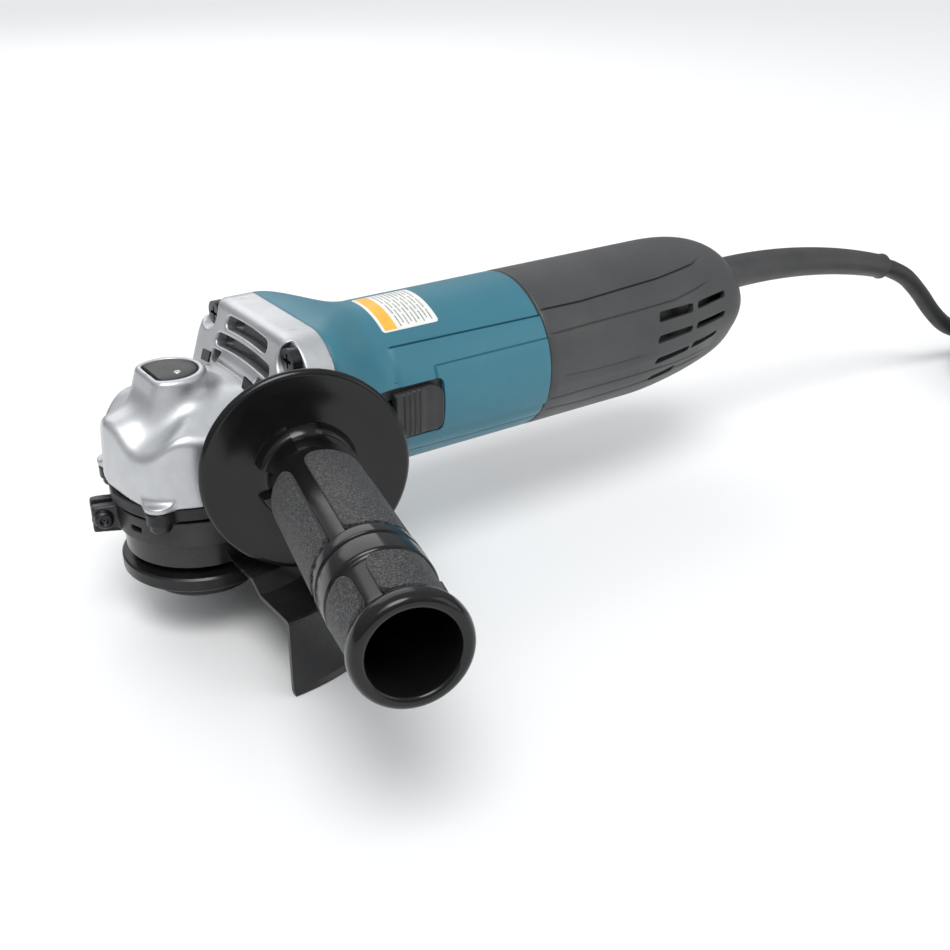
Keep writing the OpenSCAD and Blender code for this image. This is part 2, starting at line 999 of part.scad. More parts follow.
module handle_pads() {
    color([0.13, 0.13, 0.13])
        along_motor()
            handle_line()
                difference() {
                    for (a = [0 : 90 : 270]) {
                        pad(63, 113.2, grip_r, grip_r, a + 41);
                        pad(128.8, 146.5, grip_r - 0.2, 13.9, a + 41);
                    }
                    rotate_extrude()
                        polygon([[0, 50], [13.6, 60], [13.6, 128], [13.4, 128.2], [12.6, 146.9],
                                 [0, 147.5]]);
                }
}

module handle_stud() {
    color([0.5, 0.5, 0.52])
        along_motor()
            handle_line() {
                translate([0, 0, 26])
                    cylinder(h = 36, r = 3.98);
            }
}

// ---------- cord ----------

// the cord guard's own bend, from the rear cover to its tip
guard_tip = [336, 0, 40];
guard_root = [222, 0, axis_h + exit_z];
guard_steps = 20;

function bezier(a, b, c, d, t) = pow(1 - t, 3) * a + 3 * pow(1 - t, 2) * t * b
                                 + 3 * (1 - t) * t * t * c + pow(t, 3) * d;
guard_line = [for (i = [0 : guard_steps])
    bezier(guard_root, guard_root + [40, 0, 2.4], guard_tip - [34, 0, -10], guard_tip, i / guard_steps)];

function spline(p, i, t) =
    let (n = len(p), a = p[max(i - 1, 0)], b = p[i], c = p[min(i + 1, n - 1)], d = p[min(i + 2, n - 1)])
    0.5 * ((2 * b) + (c - a) * t + (2 * a - 5 * b + 4 * c - d) * t * t
           + (3 * b - a - 3 * c + d) * t * t * t);

function unit(v) = v / norm(v);

// rings of points square to a line of points that stays near a vertical plane
function ring_points(line, radius, sides) = [
    for (i = [0 : len(line) - 1])
        let (ahead = line[min(i + 1, len(line) - 1)], behind = line[max(i - 1, 0)],
             along = unit(ahead - behind), side = unit(cross([0, 0, 1], along)), up = cross(along, side))
        for (k = [0 : sides - 1])
            line[i] + radius[i] * (cos(k * 360 / sides) * side + sin(k * 360 / sides) * up)];

module swept(line, radius, sides) {
    count = len(line);
    polyhedron(points = ring_points(line, radius, sides), faces = concat(
        [[for (k = [0 : sides - 1]) k]],
        [for (i = [0 : count - 2], k = [0 : sides - 1])
            [(i + 1) * sides + k, (i + 1) * sides + (k + 1) % sides, i * sides + (k + 1) % sides,
             i * sides + k]],
        [[for (k = [0 : sides - 1]) count * sides - 1 - k]]));
}

module cord_guard() {
    color([0.12, 0.12, 0.13])
        difference() {
            union() {
                swept(guard_line, [for (i = [0 : guard_steps]) 7 - 1.9 * i / guard_steps], 24);
                translate([0, 0, axis_h + exit_z]) {
                    x_rod(222.6, 225.4, 9.1);
                    x_rod(216, 223, 6.5);
                }
            }
            translate([0, 0, axis_h + exit_z])
                x_rod(210, 229, cord_r);
        }
}

module cord_clamp() {
    color([0.15, 0.15, 0.16])
        along_motor()
            difference() {
                block(208, 213.5, -14, 14, -11, 4.5);
                translate([0, 0, exit_z])
                    x_rod(205, 216, cord_r + 0.1);
                for (s = [-1, 1])
                    translate([0, s * 11, -7])
                        x_rod(205, 216, 1.6);
            }
}

module cord_clamp_screws() {
    color([0.5, 0.5, 0.52])
        along_motor()
            for (s = [-1, 1])
                translate([208, s * 11, -7])
                    rotate([0, 90, 0])
                        cross_screw(11, 2.8, 1.8, 1.5);
}

cord_line = concat([guard_line[guard_steps]], [for (i = [0 : len(cord_points) - 2], t = [0 : 0.25 : 0.75])
    spline(cord_points, i, t)], [cord_points[len(cord_points) - 1]]);

module cord() {
    color([0.06, 0.06, 0.065])
        swept(cord_line, [for (p = cord_line) cord_r], 10);
}

module cord_coil() {
    color([0.06, 0.06, 0.065])
        translate(coil_at)
            rotate_extrude()
                translate([coil_w / 2 - 14, coil_h / 2])
                    round_rect(28, coil_h, 8);
}

module coil_tie() {
    color([0.05, 0.05, 0.05])
        translate(coil_at)
            rotate([0, 0, 40])
                translate([coil_w / 2 - 14, 0, coil_h / 2])
                    rotate([90, 0, 0])
                        linear_extrude(6, center = true)
                            difference() {
                                round_rect(30.4, coil_h + 2.4, 9);
                                round_rect(28, coil_h, 8);
                            }
}

// the plug lies on the floor, with its strain relief against the side of the coil
module along_plug() {
    translate(plug_at)
        rotate([0, 0, -90])
            rotate([0, 90, 0])
                children();
}

module plug_body() {
    color([0.05, 0.05, 0.055])
        along_plug() {
            cylinder(h = 24, r = 5.4);
            translate([0, 0, 20])
                cylinder(h = 5, r1 = 7, r2 = 9.5);
            translate([0, 0, 24.9])
                cylinder(h = 10, r1 = 9.5, r2 = 13);
            translate([0, 0, 34.8])
                cylinder(h = 9, r = 13);
        }
}

module plug_pins() {
    color([0.75, 0.7, 0.5])
        along_plug()
            for (s = [-1, 1])
                block(-3.2, 3.2, s * 6.35 - 0.75, s * 6.35 + 0.75, 43.8, 61);
}

gear_housing();
gear_housing_screws();
bearing_box();
bearing_box_screws();
upper_bearing();
lower_bearing();
bearing_retainer();
dust_seal();
spindle();
bevel_gear();
gear_clip();
inner_flange();
lock_nut();
wheel_guard();
guard_band();
guard_screw();
lock_button();
lock_pin();
lock_spring();
motor_shaft();
armature_core();
armature_windings();
commutator();
fan();
pinion();
pinion_nut();
front_bearing();
rear_bearing();
bearing_sleeve();
stator_core();
field_coils();
stator_screws();
air_baffle();
motor_housing();
name_plate();
brush_holders();
carbon_brushes();
brush_springs();
rear_cover();
rear_cover_screws();
switch_knob();
switch_lever();
switch_spring();
switch_body();
suppressor();
handle_core();
handle_pads();
handle_stud();
cord_guard();
cord_clamp();
cord_clamp_screws();
cord();
cord_coil();
coil_tie();
plug_body();
plug_pins();
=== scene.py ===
"""Looks of the angle grinder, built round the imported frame. Lengths in the tables are millimetres."""

import math

import bpy
import numpy as np
from mathutils import Matrix


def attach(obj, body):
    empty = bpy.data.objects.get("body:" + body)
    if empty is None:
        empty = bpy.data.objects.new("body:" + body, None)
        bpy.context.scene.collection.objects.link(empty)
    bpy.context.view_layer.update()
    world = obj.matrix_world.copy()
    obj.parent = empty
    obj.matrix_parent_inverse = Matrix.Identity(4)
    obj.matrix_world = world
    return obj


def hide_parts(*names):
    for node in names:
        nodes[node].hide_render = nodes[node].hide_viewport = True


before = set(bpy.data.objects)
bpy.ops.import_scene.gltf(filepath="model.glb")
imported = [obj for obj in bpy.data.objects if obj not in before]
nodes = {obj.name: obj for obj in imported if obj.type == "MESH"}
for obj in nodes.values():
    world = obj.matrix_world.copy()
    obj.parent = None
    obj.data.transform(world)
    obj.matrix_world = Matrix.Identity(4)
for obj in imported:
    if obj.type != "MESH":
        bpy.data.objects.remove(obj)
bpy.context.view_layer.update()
scene = bpy.context.scene
scene.view_settings.view_transform = "Standard"

MM = 0.001
AXIS_H = 46.0  # height of the motor axis above the wheel seat
FLOOR = 4.2 - 24.5  # the surface that the guard's rim stands on
BARREL = 28.5  # nominal radius of the motor housing and the rear grip
DEGREE = BARREL * np.pi / 180  # millimetres round the barrel in one degree
SEAM = 123.0  # where the blue housing meets the rear grip


# ---------- camera ----------


def make_camera():
    az, el, roll = (math.radians(a) for a in (-35.64, 28.98, 0.67))
    back = np.array([math.sin(az) * math.cos(el), -math.cos(az) * math.cos(el), math.sin(el)])
    right = np.array([math.cos(az), math.sin(az), 0.0])
    up = np.cross(back, right)
    x = math.cos(roll) * right + math.sin(roll) * up
    y = -math.sin(roll) * right + math.cos(roll) * up
    data = bpy.data.cameras.new("camera")
    cam = bpy.data.objects.new("camera", data)
    scene.collection.objects.link(cam)
    m = Matrix(((x[0], y[0], back[0], -0.13473), (x[1], y[1], back[1], -0.35089),
                (x[2], y[2], back[2], 0.21315), (0, 0, 0, 1)))
    cam.matrix_world = m
    data.sensor_width = 36
    data.lens = 47.806
    data.shift_x = -0.0127
    data.shift_y = 0.0527
    data.clip_start = 0.01
    scene.camera = cam


make_camera()


# ---------- mesh helpers ----------


def motor(points):
    """Points of the motor's frame, whose origin is on the motor axis, in the part's frame."""
    return np.asarray(points, float) + [0, 0, AXIS_H]


def add(name, verts, faces, body, mat, replaces=(), angle=35):
    """A visible piece from vertices in millimetres, on its body, with the CAD nodes that it stands in for."""
    me = bpy.data.meshes.new(name)
    me.from_pydata((np.asarray(verts, float) * MM).tolist(), [], [tuple(int(i) for i in f) for f in faces])
    me.validate()
    o = bpy.data.objects.new(name, me)
    scene.collection.objects.link(o)
    me.materials.append(mat)
    shade(me, angle)
    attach(o, body)
    if replaces:
        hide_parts(*replaces)
    return o


def shade(me, angle):
    me.polygons.foreach_set("use_smooth", np.ones(len(me.polygons), bool))
    if angle < 180:
        me.set_sharp_from_angle(angle=math.radians(angle))
    me.update()


def grid_faces(n, m, close_u=False, close_v=False, flip=False):
    """Quads of an n by m grid of points."""
    i = np.arange(n if close_u else n - 1)
    j = np.arange(m if close_v else m - 1)
    a, b = np.meshgrid(i, j, indexing="ij")
    a2, b2 = (a + 1) % n, (b + 1) % m
    q = np.stack([a * m + b, a2 * m + b, a2 * m + b2, a * m + b2], -1).reshape(-1, 4)
    return q[:, ::-1] if flip else q


def turned(at, x, y, z):
    """A placing function for lathe: the axis runs along z through at, and angle 0 is along x."""
    x, y, z = (np.asarray(d, float) for d in (x, y, z))

    def place(a, r, s):
        a, r, s = (c[..., None] for c in np.broadcast_arrays(a, r, s))
        return at + r * np.cos(a) * x + r * np.sin(a) * y + s * z

    return place


def unit(v):
    v = np.asarray(v, float)
    return v / np.linalg.norm(v)


def smoothstep(a, b, x):
    t = np.clip((x - a) / (b - a), 0, 1)
    return t * t * (3 - 2 * t)


# ---------- materials ----------


def material(name, colour, rough, metal=0.0, spec=0.5, sheen=0.0):
    m = bpy.data.materials.new(name)
    m.use_nodes = True
    b = m.node_tree.nodes["Principled BSDF"]
    b.inputs["Base Color"].default_value = (*colour, 1)
    b.inputs["Roughness"].default_value = rough
    b.inputs["Metallic"].default_value = metal
    b.inputs["Specular IOR Level"].default_value = spec
    b.inputs["Sheen Weight"].default_value = sheen
    return m


def node(m, kind, **values):
    n = m.node_tree.nodes.new(kind)
    for k, v in values.items():
        if k in n.inputs:
            n.inputs[k].default_value = v
        else:
            setattr(n, k, v)
    return n


def wire(m, a, out, b, into):
    m.node_tree.links.new(a.outputs[out], b.inputs[into])


def coords(m, scale=(1, 1, 1)):
    tc = node(m, "ShaderNodeTexCoord")
    mp = node(m, "ShaderNodeMapping")
    mp.inputs["Scale"].default_value = scale
    wire(m, tc, "Object", mp, "Vector")
    return mp


def bumped(m, layers, distance):
    """Adds layers of fine relief, each (scale, strength[, "cells"]), one on the other."""
    at = coords(m)
    last = None
    for scale, strength, *cells in layers:
        if cells:
            t = node(m, "ShaderNodeTexVoronoi", Scale=scale)
        else:
            t = node(m, "ShaderNodeTexNoise", Scale=scale, Detail=4.0, Roughness=0.6)
        wire(m, at, "Vector", t, "Vector")
        n = node(m, "ShaderNodeBump", Strength=strength, Distance=distance)
        wire(m, t, "Distance" if cells else "Fac", n, "Height")
        if last is not None:
            wire(m, last, "Normal", n, "Normal")
        last = n
    wire(m, last, "Normal", m.node_tree.nodes["Principled BSDF"], "Normal")


def mottled(m, scale, dark, light, low=0.35, high=0.65, stretch=(1, 1, 1)):
    """Varies the roughness, or the colour if dark and light are colours, with a soft noise."""
    b = m.node_tree.nodes["Principled BSDF"]
    at = coords(m, stretch)
    t = node(m, "ShaderNodeTexNoise", Scale=scale, Detail=5.0, Roughness=0.62)
    wire(m, at, "Vector", t, "Vector")
    if isinstance(dark, tuple):
        r = node(m, "ShaderNodeValToRGB")
        for e, position, colour in zip(r.color_ramp.elements, (low, high), (dark, light)):
            e.position = position
            e.color = (*colour, 1)
        wire(m, t, "Fac", r, "Fac")
        wire(m, r, "Color", b, "Base Color")
    else:
        r = node(m, "ShaderNodeMapRange")
        for socket, value in zip(("From Min", "From Max", "To Min", "To Max"), (low, high, dark, light)):
            r.inputs[socket].default_value = value
        wire(m, t, "Fac", r, "Value")
        wire(m, r, "Result", b, "Roughness")


def finish(key, name, colour, rough, variations, relief, depth=0.0002, **more):
    """A material with mottled roughness or colour and fine relief."""
    m = M[key] = material(name, colour, rough, **more)
    for v in variations:
        mottled(m, *v)
    bumped(m, relief, depth)


M = {}
finish("cast", "cast_aluminium", (0.54, 0.55, 0.565), 0.44,
       [(60, 0.38, 0.52), (35, (0.49, 0.50, 0.515), (0.60, 0.61, 0.625))], [(1100, 0.16), (130, 0.06)],
       metal=0.95)
finish("blue", "blue_plastic", (0.037, 0.172, 0.232), 0.42,
       [(45, 0.37, 0.47), (18, (0.034, 0.163, 0.220), (0.040, 0.181, 0.244))], [(2600, 0.16), (60, 0.03)],
       spec=0.45)
finish("dark", "dark_plastic", (0.052, 0.053, 0.054), 0.46,
       [(40, 0.40, 0.54), (22, (0.044, 0.045, 0.046), (0.060, 0.061, 0.062))], [(2400, 0.2), (70, 0.04)],
       spec=0.5)
finish("black", "black_plastic", (0.022, 0.022, 0.023), 0.42,
       [(80, 0.36, 0.5), (50, (0.018, 0.018, 0.019), (0.028, 0.028, 0.029))], [(2200, 0.18)])
finish("gloss", "gloss_black", (0.006, 0.006, 0.0065), 0.16,
       [(55, 0.13, 0.20), (30, (0.005, 0.005, 0.0055), (0.008, 0.008, 0.0085))], [(90, 0.015)], spec=0.36)
finish("pad", "pad_rubber", (0.03, 0.03, 0.031), 0.6,
       [(1700, (0.010, 0.010, 0.0105), (0.115, 0.115, 0.118), 0.43, 0.70)],
       [(3000, 0.35, "cells"), (3600, 0.3)], spec=0.35, sheen=0.04, depth=0.0001)
finish("guard", "guard_paint", (0.012, 0.012, 0.013), 0.24,
       [(70, 0.18, 0.32), (40, (0.010, 0.010, 0.011), (0.017, 0.017, 0.018))], [(260, 0.05), (1400, 0.04)],
       spec=0.5)
finish("band", "band_steel", (0.022, 0.022, 0.023), 0.4,
       [(90, 0.32, 0.48), (60, (0.018, 0.018, 0.019), (0.032, 0.032, 0.034))], [(900, 0.12)], metal=0.2)
finish("black_steel", "black_steel", (0.02, 0.02, 0.021), 0.3,
       [(80, 0.24, 0.4), (50, (0.015, 0.015, 0.016), (0.028, 0.028, 0.03))], [(1100, 0.08)], metal=0.5)
finish("screw", "black_screw", (0.03, 0.03, 0.032), 0.3,
       [(300, 0.22, 0.4), (200, (0.02, 0.02, 0.022), (0.05, 0.05, 0.053))], [(1500, 0.1)], metal=0.75)
finish("steel", "steel", (0.56, 0.56, 0.57), 0.3, [(120, 0.22, 0.4, 0.35, 0.65, (1, 1, 12))], [(1600, 0.08)],
       metal=1.0)
finish("gear", "gear_steel", (0.34, 0.34, 0.35), 0.32,
       [(140, 0.2, 0.42), (80, (0.26, 0.26, 0.27), (0.42, 0.42, 0.43))], [(900, 0.1)], metal=1.0)
finish("core", "core_steel", (0.4, 0.4, 0.42), 0.45,
       [(2200, (0.25, 0.25, 0.27), (0.5, 0.5, 0.52), 0.35, 0.65, (6, 0.05, 0.05))], [(1200, 0.2)], metal=0.9)
finish("copper", "copper", (0.55, 0.22, 0.09), 0.3,
       [(600, (0.36, 0.13, 0.05), (0.72, 0.32, 0.14), 0.35, 0.65, (1, 4, 1))], [(1500, 0.5)], metal=0.85)
finish("brass", "brass", (0.66, 0.48, 0.2), 0.3, [(200, 0.22, 0.4)], [(1300, 0.08)], metal=1.0)
finish("carbon", "carbon", (0.035, 0.035, 0.037), 0.6, [(700, (0.02, 0.02, 0.021), (0.06, 0.06, 0.063))],
       [(2000, 0.3)])
finish("film", "yellow_film", (0.5, 0.36, 0.05), 0.45, [(90, (0.42, 0.3, 0.04), (0.58, 0.42, 0.07))],
       [(700, 0.1)])
finish("cord", "cord_rubber", (0.026, 0.026, 0.027), 0.5,
       [(120, 0.42, 0.58), (60, (0.021, 0.021, 0.022), (0.034, 0.034, 0.035))], [(1600, 0.2), (240, 0.06)],
       spec=0.4)
finish("boot", "guard_rubber", (0.045, 0.045, 0.046), 0.5,
       [(90, 0.42, 0.58), (40, (0.036, 0.036, 0.037), (0.055, 0.055, 0.056))], [(1500, 0.22), (120, 0.08)],
       spec=0.45)
finish("knob", "knob_plastic", (0.020, 0.020, 0.021), 0.40,
       [(80, 0.34, 0.48), (50, (0.016, 0.016, 0.017), (0.026, 0.026, 0.027))], [(2200, 0.18)])
finish("label", "label_paper", (0.78, 0.78, 0.75), 0.4, [(120, (0.74, 0.74, 0.71), (0.82, 0.82, 0.79))],
       [(500, 0.04)])
finish("label_amber", "label_amber", (0.86, 0.45, 0.05), 0.4, [(150, (0.82, 0.41, 0.04), (0.9, 0.5, 0.07))],
       [(500, 0.04)])
finish("label_ink", "label_ink", (0.22, 0.22, 0.22), 0.5,
       [(2500, (0.1, 0.1, 0.1), (0.5, 0.5, 0.48), 0.42, 0.58)], [(900, 0.05)])
finish("stage", "stage", (0.93, 0.93, 0.93), 0.9, [], [(40, 0.02)])


# ---------- cord ----------

cord_points = [(0.343, 0, 0.0375), (0.355, 0, 0.0315), (0.367, 0, 0.022), (0.379, 0, 0.011),
               (0.391, 0, 0.002), (0.404, 0, -0.004), (0.418, -0.001, -0.007), (0.432, -0.0025, -0.008)]
guard_root = np.array([222.0, 0, AXIS_H + 8])
guard_tip = np.array([336.0, 0, 40.0])
coil_centre = np.array([432.0, -57.0])
CORD_D = 8.0


def bezier(a, b, c, d, t):
    t = np.asarray(t)[:, None]
    return (1 - t) ** 3 * a + 3 * (1 - t) ** 2 * t * b + 3 * (1 - t) * t * t * c + t ** 3 * d


def spline(points, per):
    """A Catmull-Rom line through points, per steps a span."""
    p = np.asarray(points, float)
    out = []
    for i in range(len(p) - 1):
        a, b = p[max(i - 1, 0)], p[i]
        c, d = p[i + 1], p[min(i + 2, len(p) - 1)]
        for t in np.arange(per) / per:
            out.append(0.5 * (2 * b + (c - a) * t + (2 * a - 5 * b + 4 * c - d) * t * t
                              + (3 * b - a - 3 * c + d) * t ** 3))
    return np.array(out + [p[-1]])


def cord_path():
    """The free run from the cord guard, then three layers of three turns, ending at the plug's relief."""
    run = spline([guard_tip * MM] + cord_points, 6)
    pts = [p / MM for p in run]
    radii = (54.0, 45.7, 37.4)
    levels = (FLOOR + 1.2 + 4.1, FLOOR + 1.2 + 12.6, FLOOR + 1.2 + 21.1)
    plan = [(0, 1), (0, 0), (1, 0), (2, 0), (2, 1), (2, 2), (1, 2), (0, 2)]
    step = math.radians(12)
    ang = math.radians(90)
    made = []
    for k, (ri, li) in enumerate(plan):
        nxt = plan[k + 1] if k + 1 < len(plan) else None
        for i in range(30):
            f = smoothstep(24, 30, i) if nxt else 0.0
            r = radii[ri] + ((radii[nxt[0]] - radii[ri]) * f if nxt else 0)
            z = levels[li] + ((levels[nxt[1]] - levels[li]) * f if nxt else 0)
            made.append([coil_centre[0] + r * math.cos(ang), coil_centre[1] + r * math.sin(ang), z])
            ang -= step
    # the last stretch runs on to the strain relief on the coil's +X side, heading -Y
    for i in range(9):
        f = smoothstep(0, 8, i)
        r = 54.0 - 3.0 * f
        z = levels[2] + (FLOOR + 13 - levels[2]) * f
        made.append([coil_centre[0] + r * math.cos(ang), coil_centre[1] + r * math.sin(ang), z])
        ang -= step
    pts = pts[:-1] + made[1:]
    return np.array(pts)


def tube_curve(name, pts, radius, body, mat):
    cu = bpy.data.curves.new(name, "CURVE")
    cu.dimensions = "3D"
    cu.bevel_depth = radius * MM
    cu.bevel_resolution = 5
    cu.use_fill_caps = True
    cu.resolution_u = 2
    sp = cu.splines.new("POLY")
    sp.points.add(len(pts) - 1)
    for i, p in enumerate(pts):
        sp.points[i].co = (*(p * MM), 1)
    o = bpy.data.objects.new(name, cu)
    scene.collection.objects.link(o)
    cu.materials.append(mat)
    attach(o, body)
    return o


def ring_frame(line):
    tang = np.gradient(line, axis=0)
    tang /= np.linalg.norm(tang, axis=1)[:, None]
    side = np.cross([0, 0, 1.0], tang)
    side /= np.linalg.norm(side, axis=1)[:, None]
    return tang, side, np.cross(tang, side)


def sweep(line, radius, sides=32):
    """Verts and faces of a closed tube along a line."""
    _, side, up = ring_frame(line)
    a = np.linspace(0, 2 * np.pi, sides, endpoint=False)
    ring = np.cos(a)[None, :, None] * side[:, None, :] + np.sin(a)[None, :, None] * up[:, None, :]
    v = (line[:, None, :] + np.asarray(radius)[:, None, None] * ring).reshape(-1, 3)
    f = [tuple(q) for q in grid_faces(len(line), sides, close_v=True, flip=True)]
    f.append(tuple(range(sides)))
    f.append(tuple((len(line) - 1) * sides + i for i in reversed(range(sides))))
    return v, f


path = cord_path()
cord = tube_curve("cord_run", path, CORD_D / 2, "housing", M["cord"])
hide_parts("cord", "cord_coil")


# ---------- stage and light ----------


def make_stage():
    me = bpy.data.meshes.new("floor")
    s, z = 60.0, FLOOR * MM - 0.0002
    me.from_pydata([(-s, -s, z), (s, -s, z), (s, s, z), (-s, s, z)], [], [(0, 1, 2, 3)])
    o = bpy.data.objects.new("floor", me)
    scene.collection.objects.link(o)
    me.materials.append(M["stage"])


def area(name, at, target, size, power):
    d = bpy.data.lights.new(name, "AREA")
    d.energy = power
    d.shape = "RECTANGLE"
    d.size = size
    d.size_y = size
    o = bpy.data.objects.new(name, d)
    scene.collection.objects.link(o)
    at, target = np.array(at, float), np.array(target, float)
    back = unit(at - target)
    ref = np.array([0, 0, 1.0]) if abs(back[2]) < 0.95 else np.array([0, 1.0, 0])
    x = unit(np.cross(ref, back))
    y = np.cross(back, x)
    o.matrix_world = Matrix(((x[0], y[0], back[0], at[0]), (x[1], y[1], back[1], at[1]),
                             (x[2], y[2], back[2], at[2]), (0, 0, 0, 1)))
    return o


def make_world():
    """A soft grey sky, darker at the horizon than overhead."""
    world = bpy.data.worlds.new("world")
    scene.world = world
    world.use_nodes = True
    sky = world.node_tree
    ramp = sky.nodes.new("ShaderNodeValToRGB")
    for e, position, colour in zip(ramp.color_ramp.elements, (0.50, 0.90), (HORIZON, ZENITH)):
        e.position = position
        e.color = (*colour, 1)
    split = sky.nodes.new("ShaderNodeSeparateXYZ")
    where = sky.nodes.new("ShaderNodeTexCoord")
    sky.links.new(where.outputs["Generated"], split.inputs["Vector"])
    lift = sky.nodes.new("ShaderNodeMath")
    lift.operation = "MULTIPLY_ADD"
    lift.inputs[1].default_value = 0.5
    lift.inputs[2].default_value = 0.5
    sky.links.new(split.outputs["Z"], lift.inputs[0])
    sky.links.new(lift.outputs["Value"], ramp.inputs["Fac"])
    sky.links.new(ramp.outputs["Color"], sky.nodes["Background"].inputs["Color"])
    sky.nodes["Background"].inputs["Strength"].default_value = 0.72


def make_sun():
    sun = bpy.data.lights.new("soft_sun", "SUN")
    sun.energy = 1.15
    sun.angle = math.radians(28)
    o = bpy.data.objects.new("soft_sun", sun)
    scene.collection.objects.link(o)
    o.rotation_euler = (math.radians(24), math.radians(-14), 0)


HORIZON, ZENITH = (0.30, 0.305, 0.315), (0.86, 0.88, 0.90)
MID = (0.08, -0.02, 0.03)
make_stage()
make_world()
area("key", (-0.35, -0.55, 1.0), MID, 0.7, 3.6)
area("fill", (0.9, -0.9, 0.5), MID, 0.8, 2.2)
area("back", (0.2, 0.9, 0.8), MID, 1.0, 4.0)
make_sun()

# ---------- the cast gear housing ----------


def smax(a, b, k):
    """The larger of two fields, rounded over a width k where they meet."""
    h = np.maximum(k - np.abs(a - b), 0) / k
    return np.maximum(a, b) + h * h * k / 4


def smin(a, b, k):
    return -smax(-a, -b, k)


def between(v, low, high):
    """Distance outside the slab where v lies between low and high, negative inside it."""
    return np.maximum(low - v, v - high)


def rounded_box(y, z, w, h, r):
    """A rectangle's field, of half sizes w and h, with corners of radius r."""
    qy, qz = np.abs(y) - (w - r), np.abs(z) - (h - r)
    return np.hypot(np.maximum(qy, 0), np.maximum(qz, 0)) + np.minimum(np.maximum(qy, qz), 0) - r


# where the side handle's axis starts and its directions: rearward, up and along the handle
HANDLE_AT = np.array([31.2, 0, -6.5])
HANDLE_X = np.array([0.96456, -0.26387, 0.0])
HANDLE_Y = np.array([0.01381, 0.05048, 0.99863])
HANDLE_Z = np.array([-0.26351, -0.96324, 0.05234])
handle_points = turned(HANDLE_AT + [0, 0, AXIS_H], HANDLE_X, HANDLE_Y, HANDLE_Z)


def head_wall(x, ay):
    """The head's upright walls, seen from above."""
    nose = smax(-x - 28.2, -0.889 * x + 0.459 * ay - 27.4, 6.0)
    nose = smax(nose, -0.474 * x + 0.88 * ay - 27.6, 2.5)
    return smax(nose, ay - 27.8, 5.0)


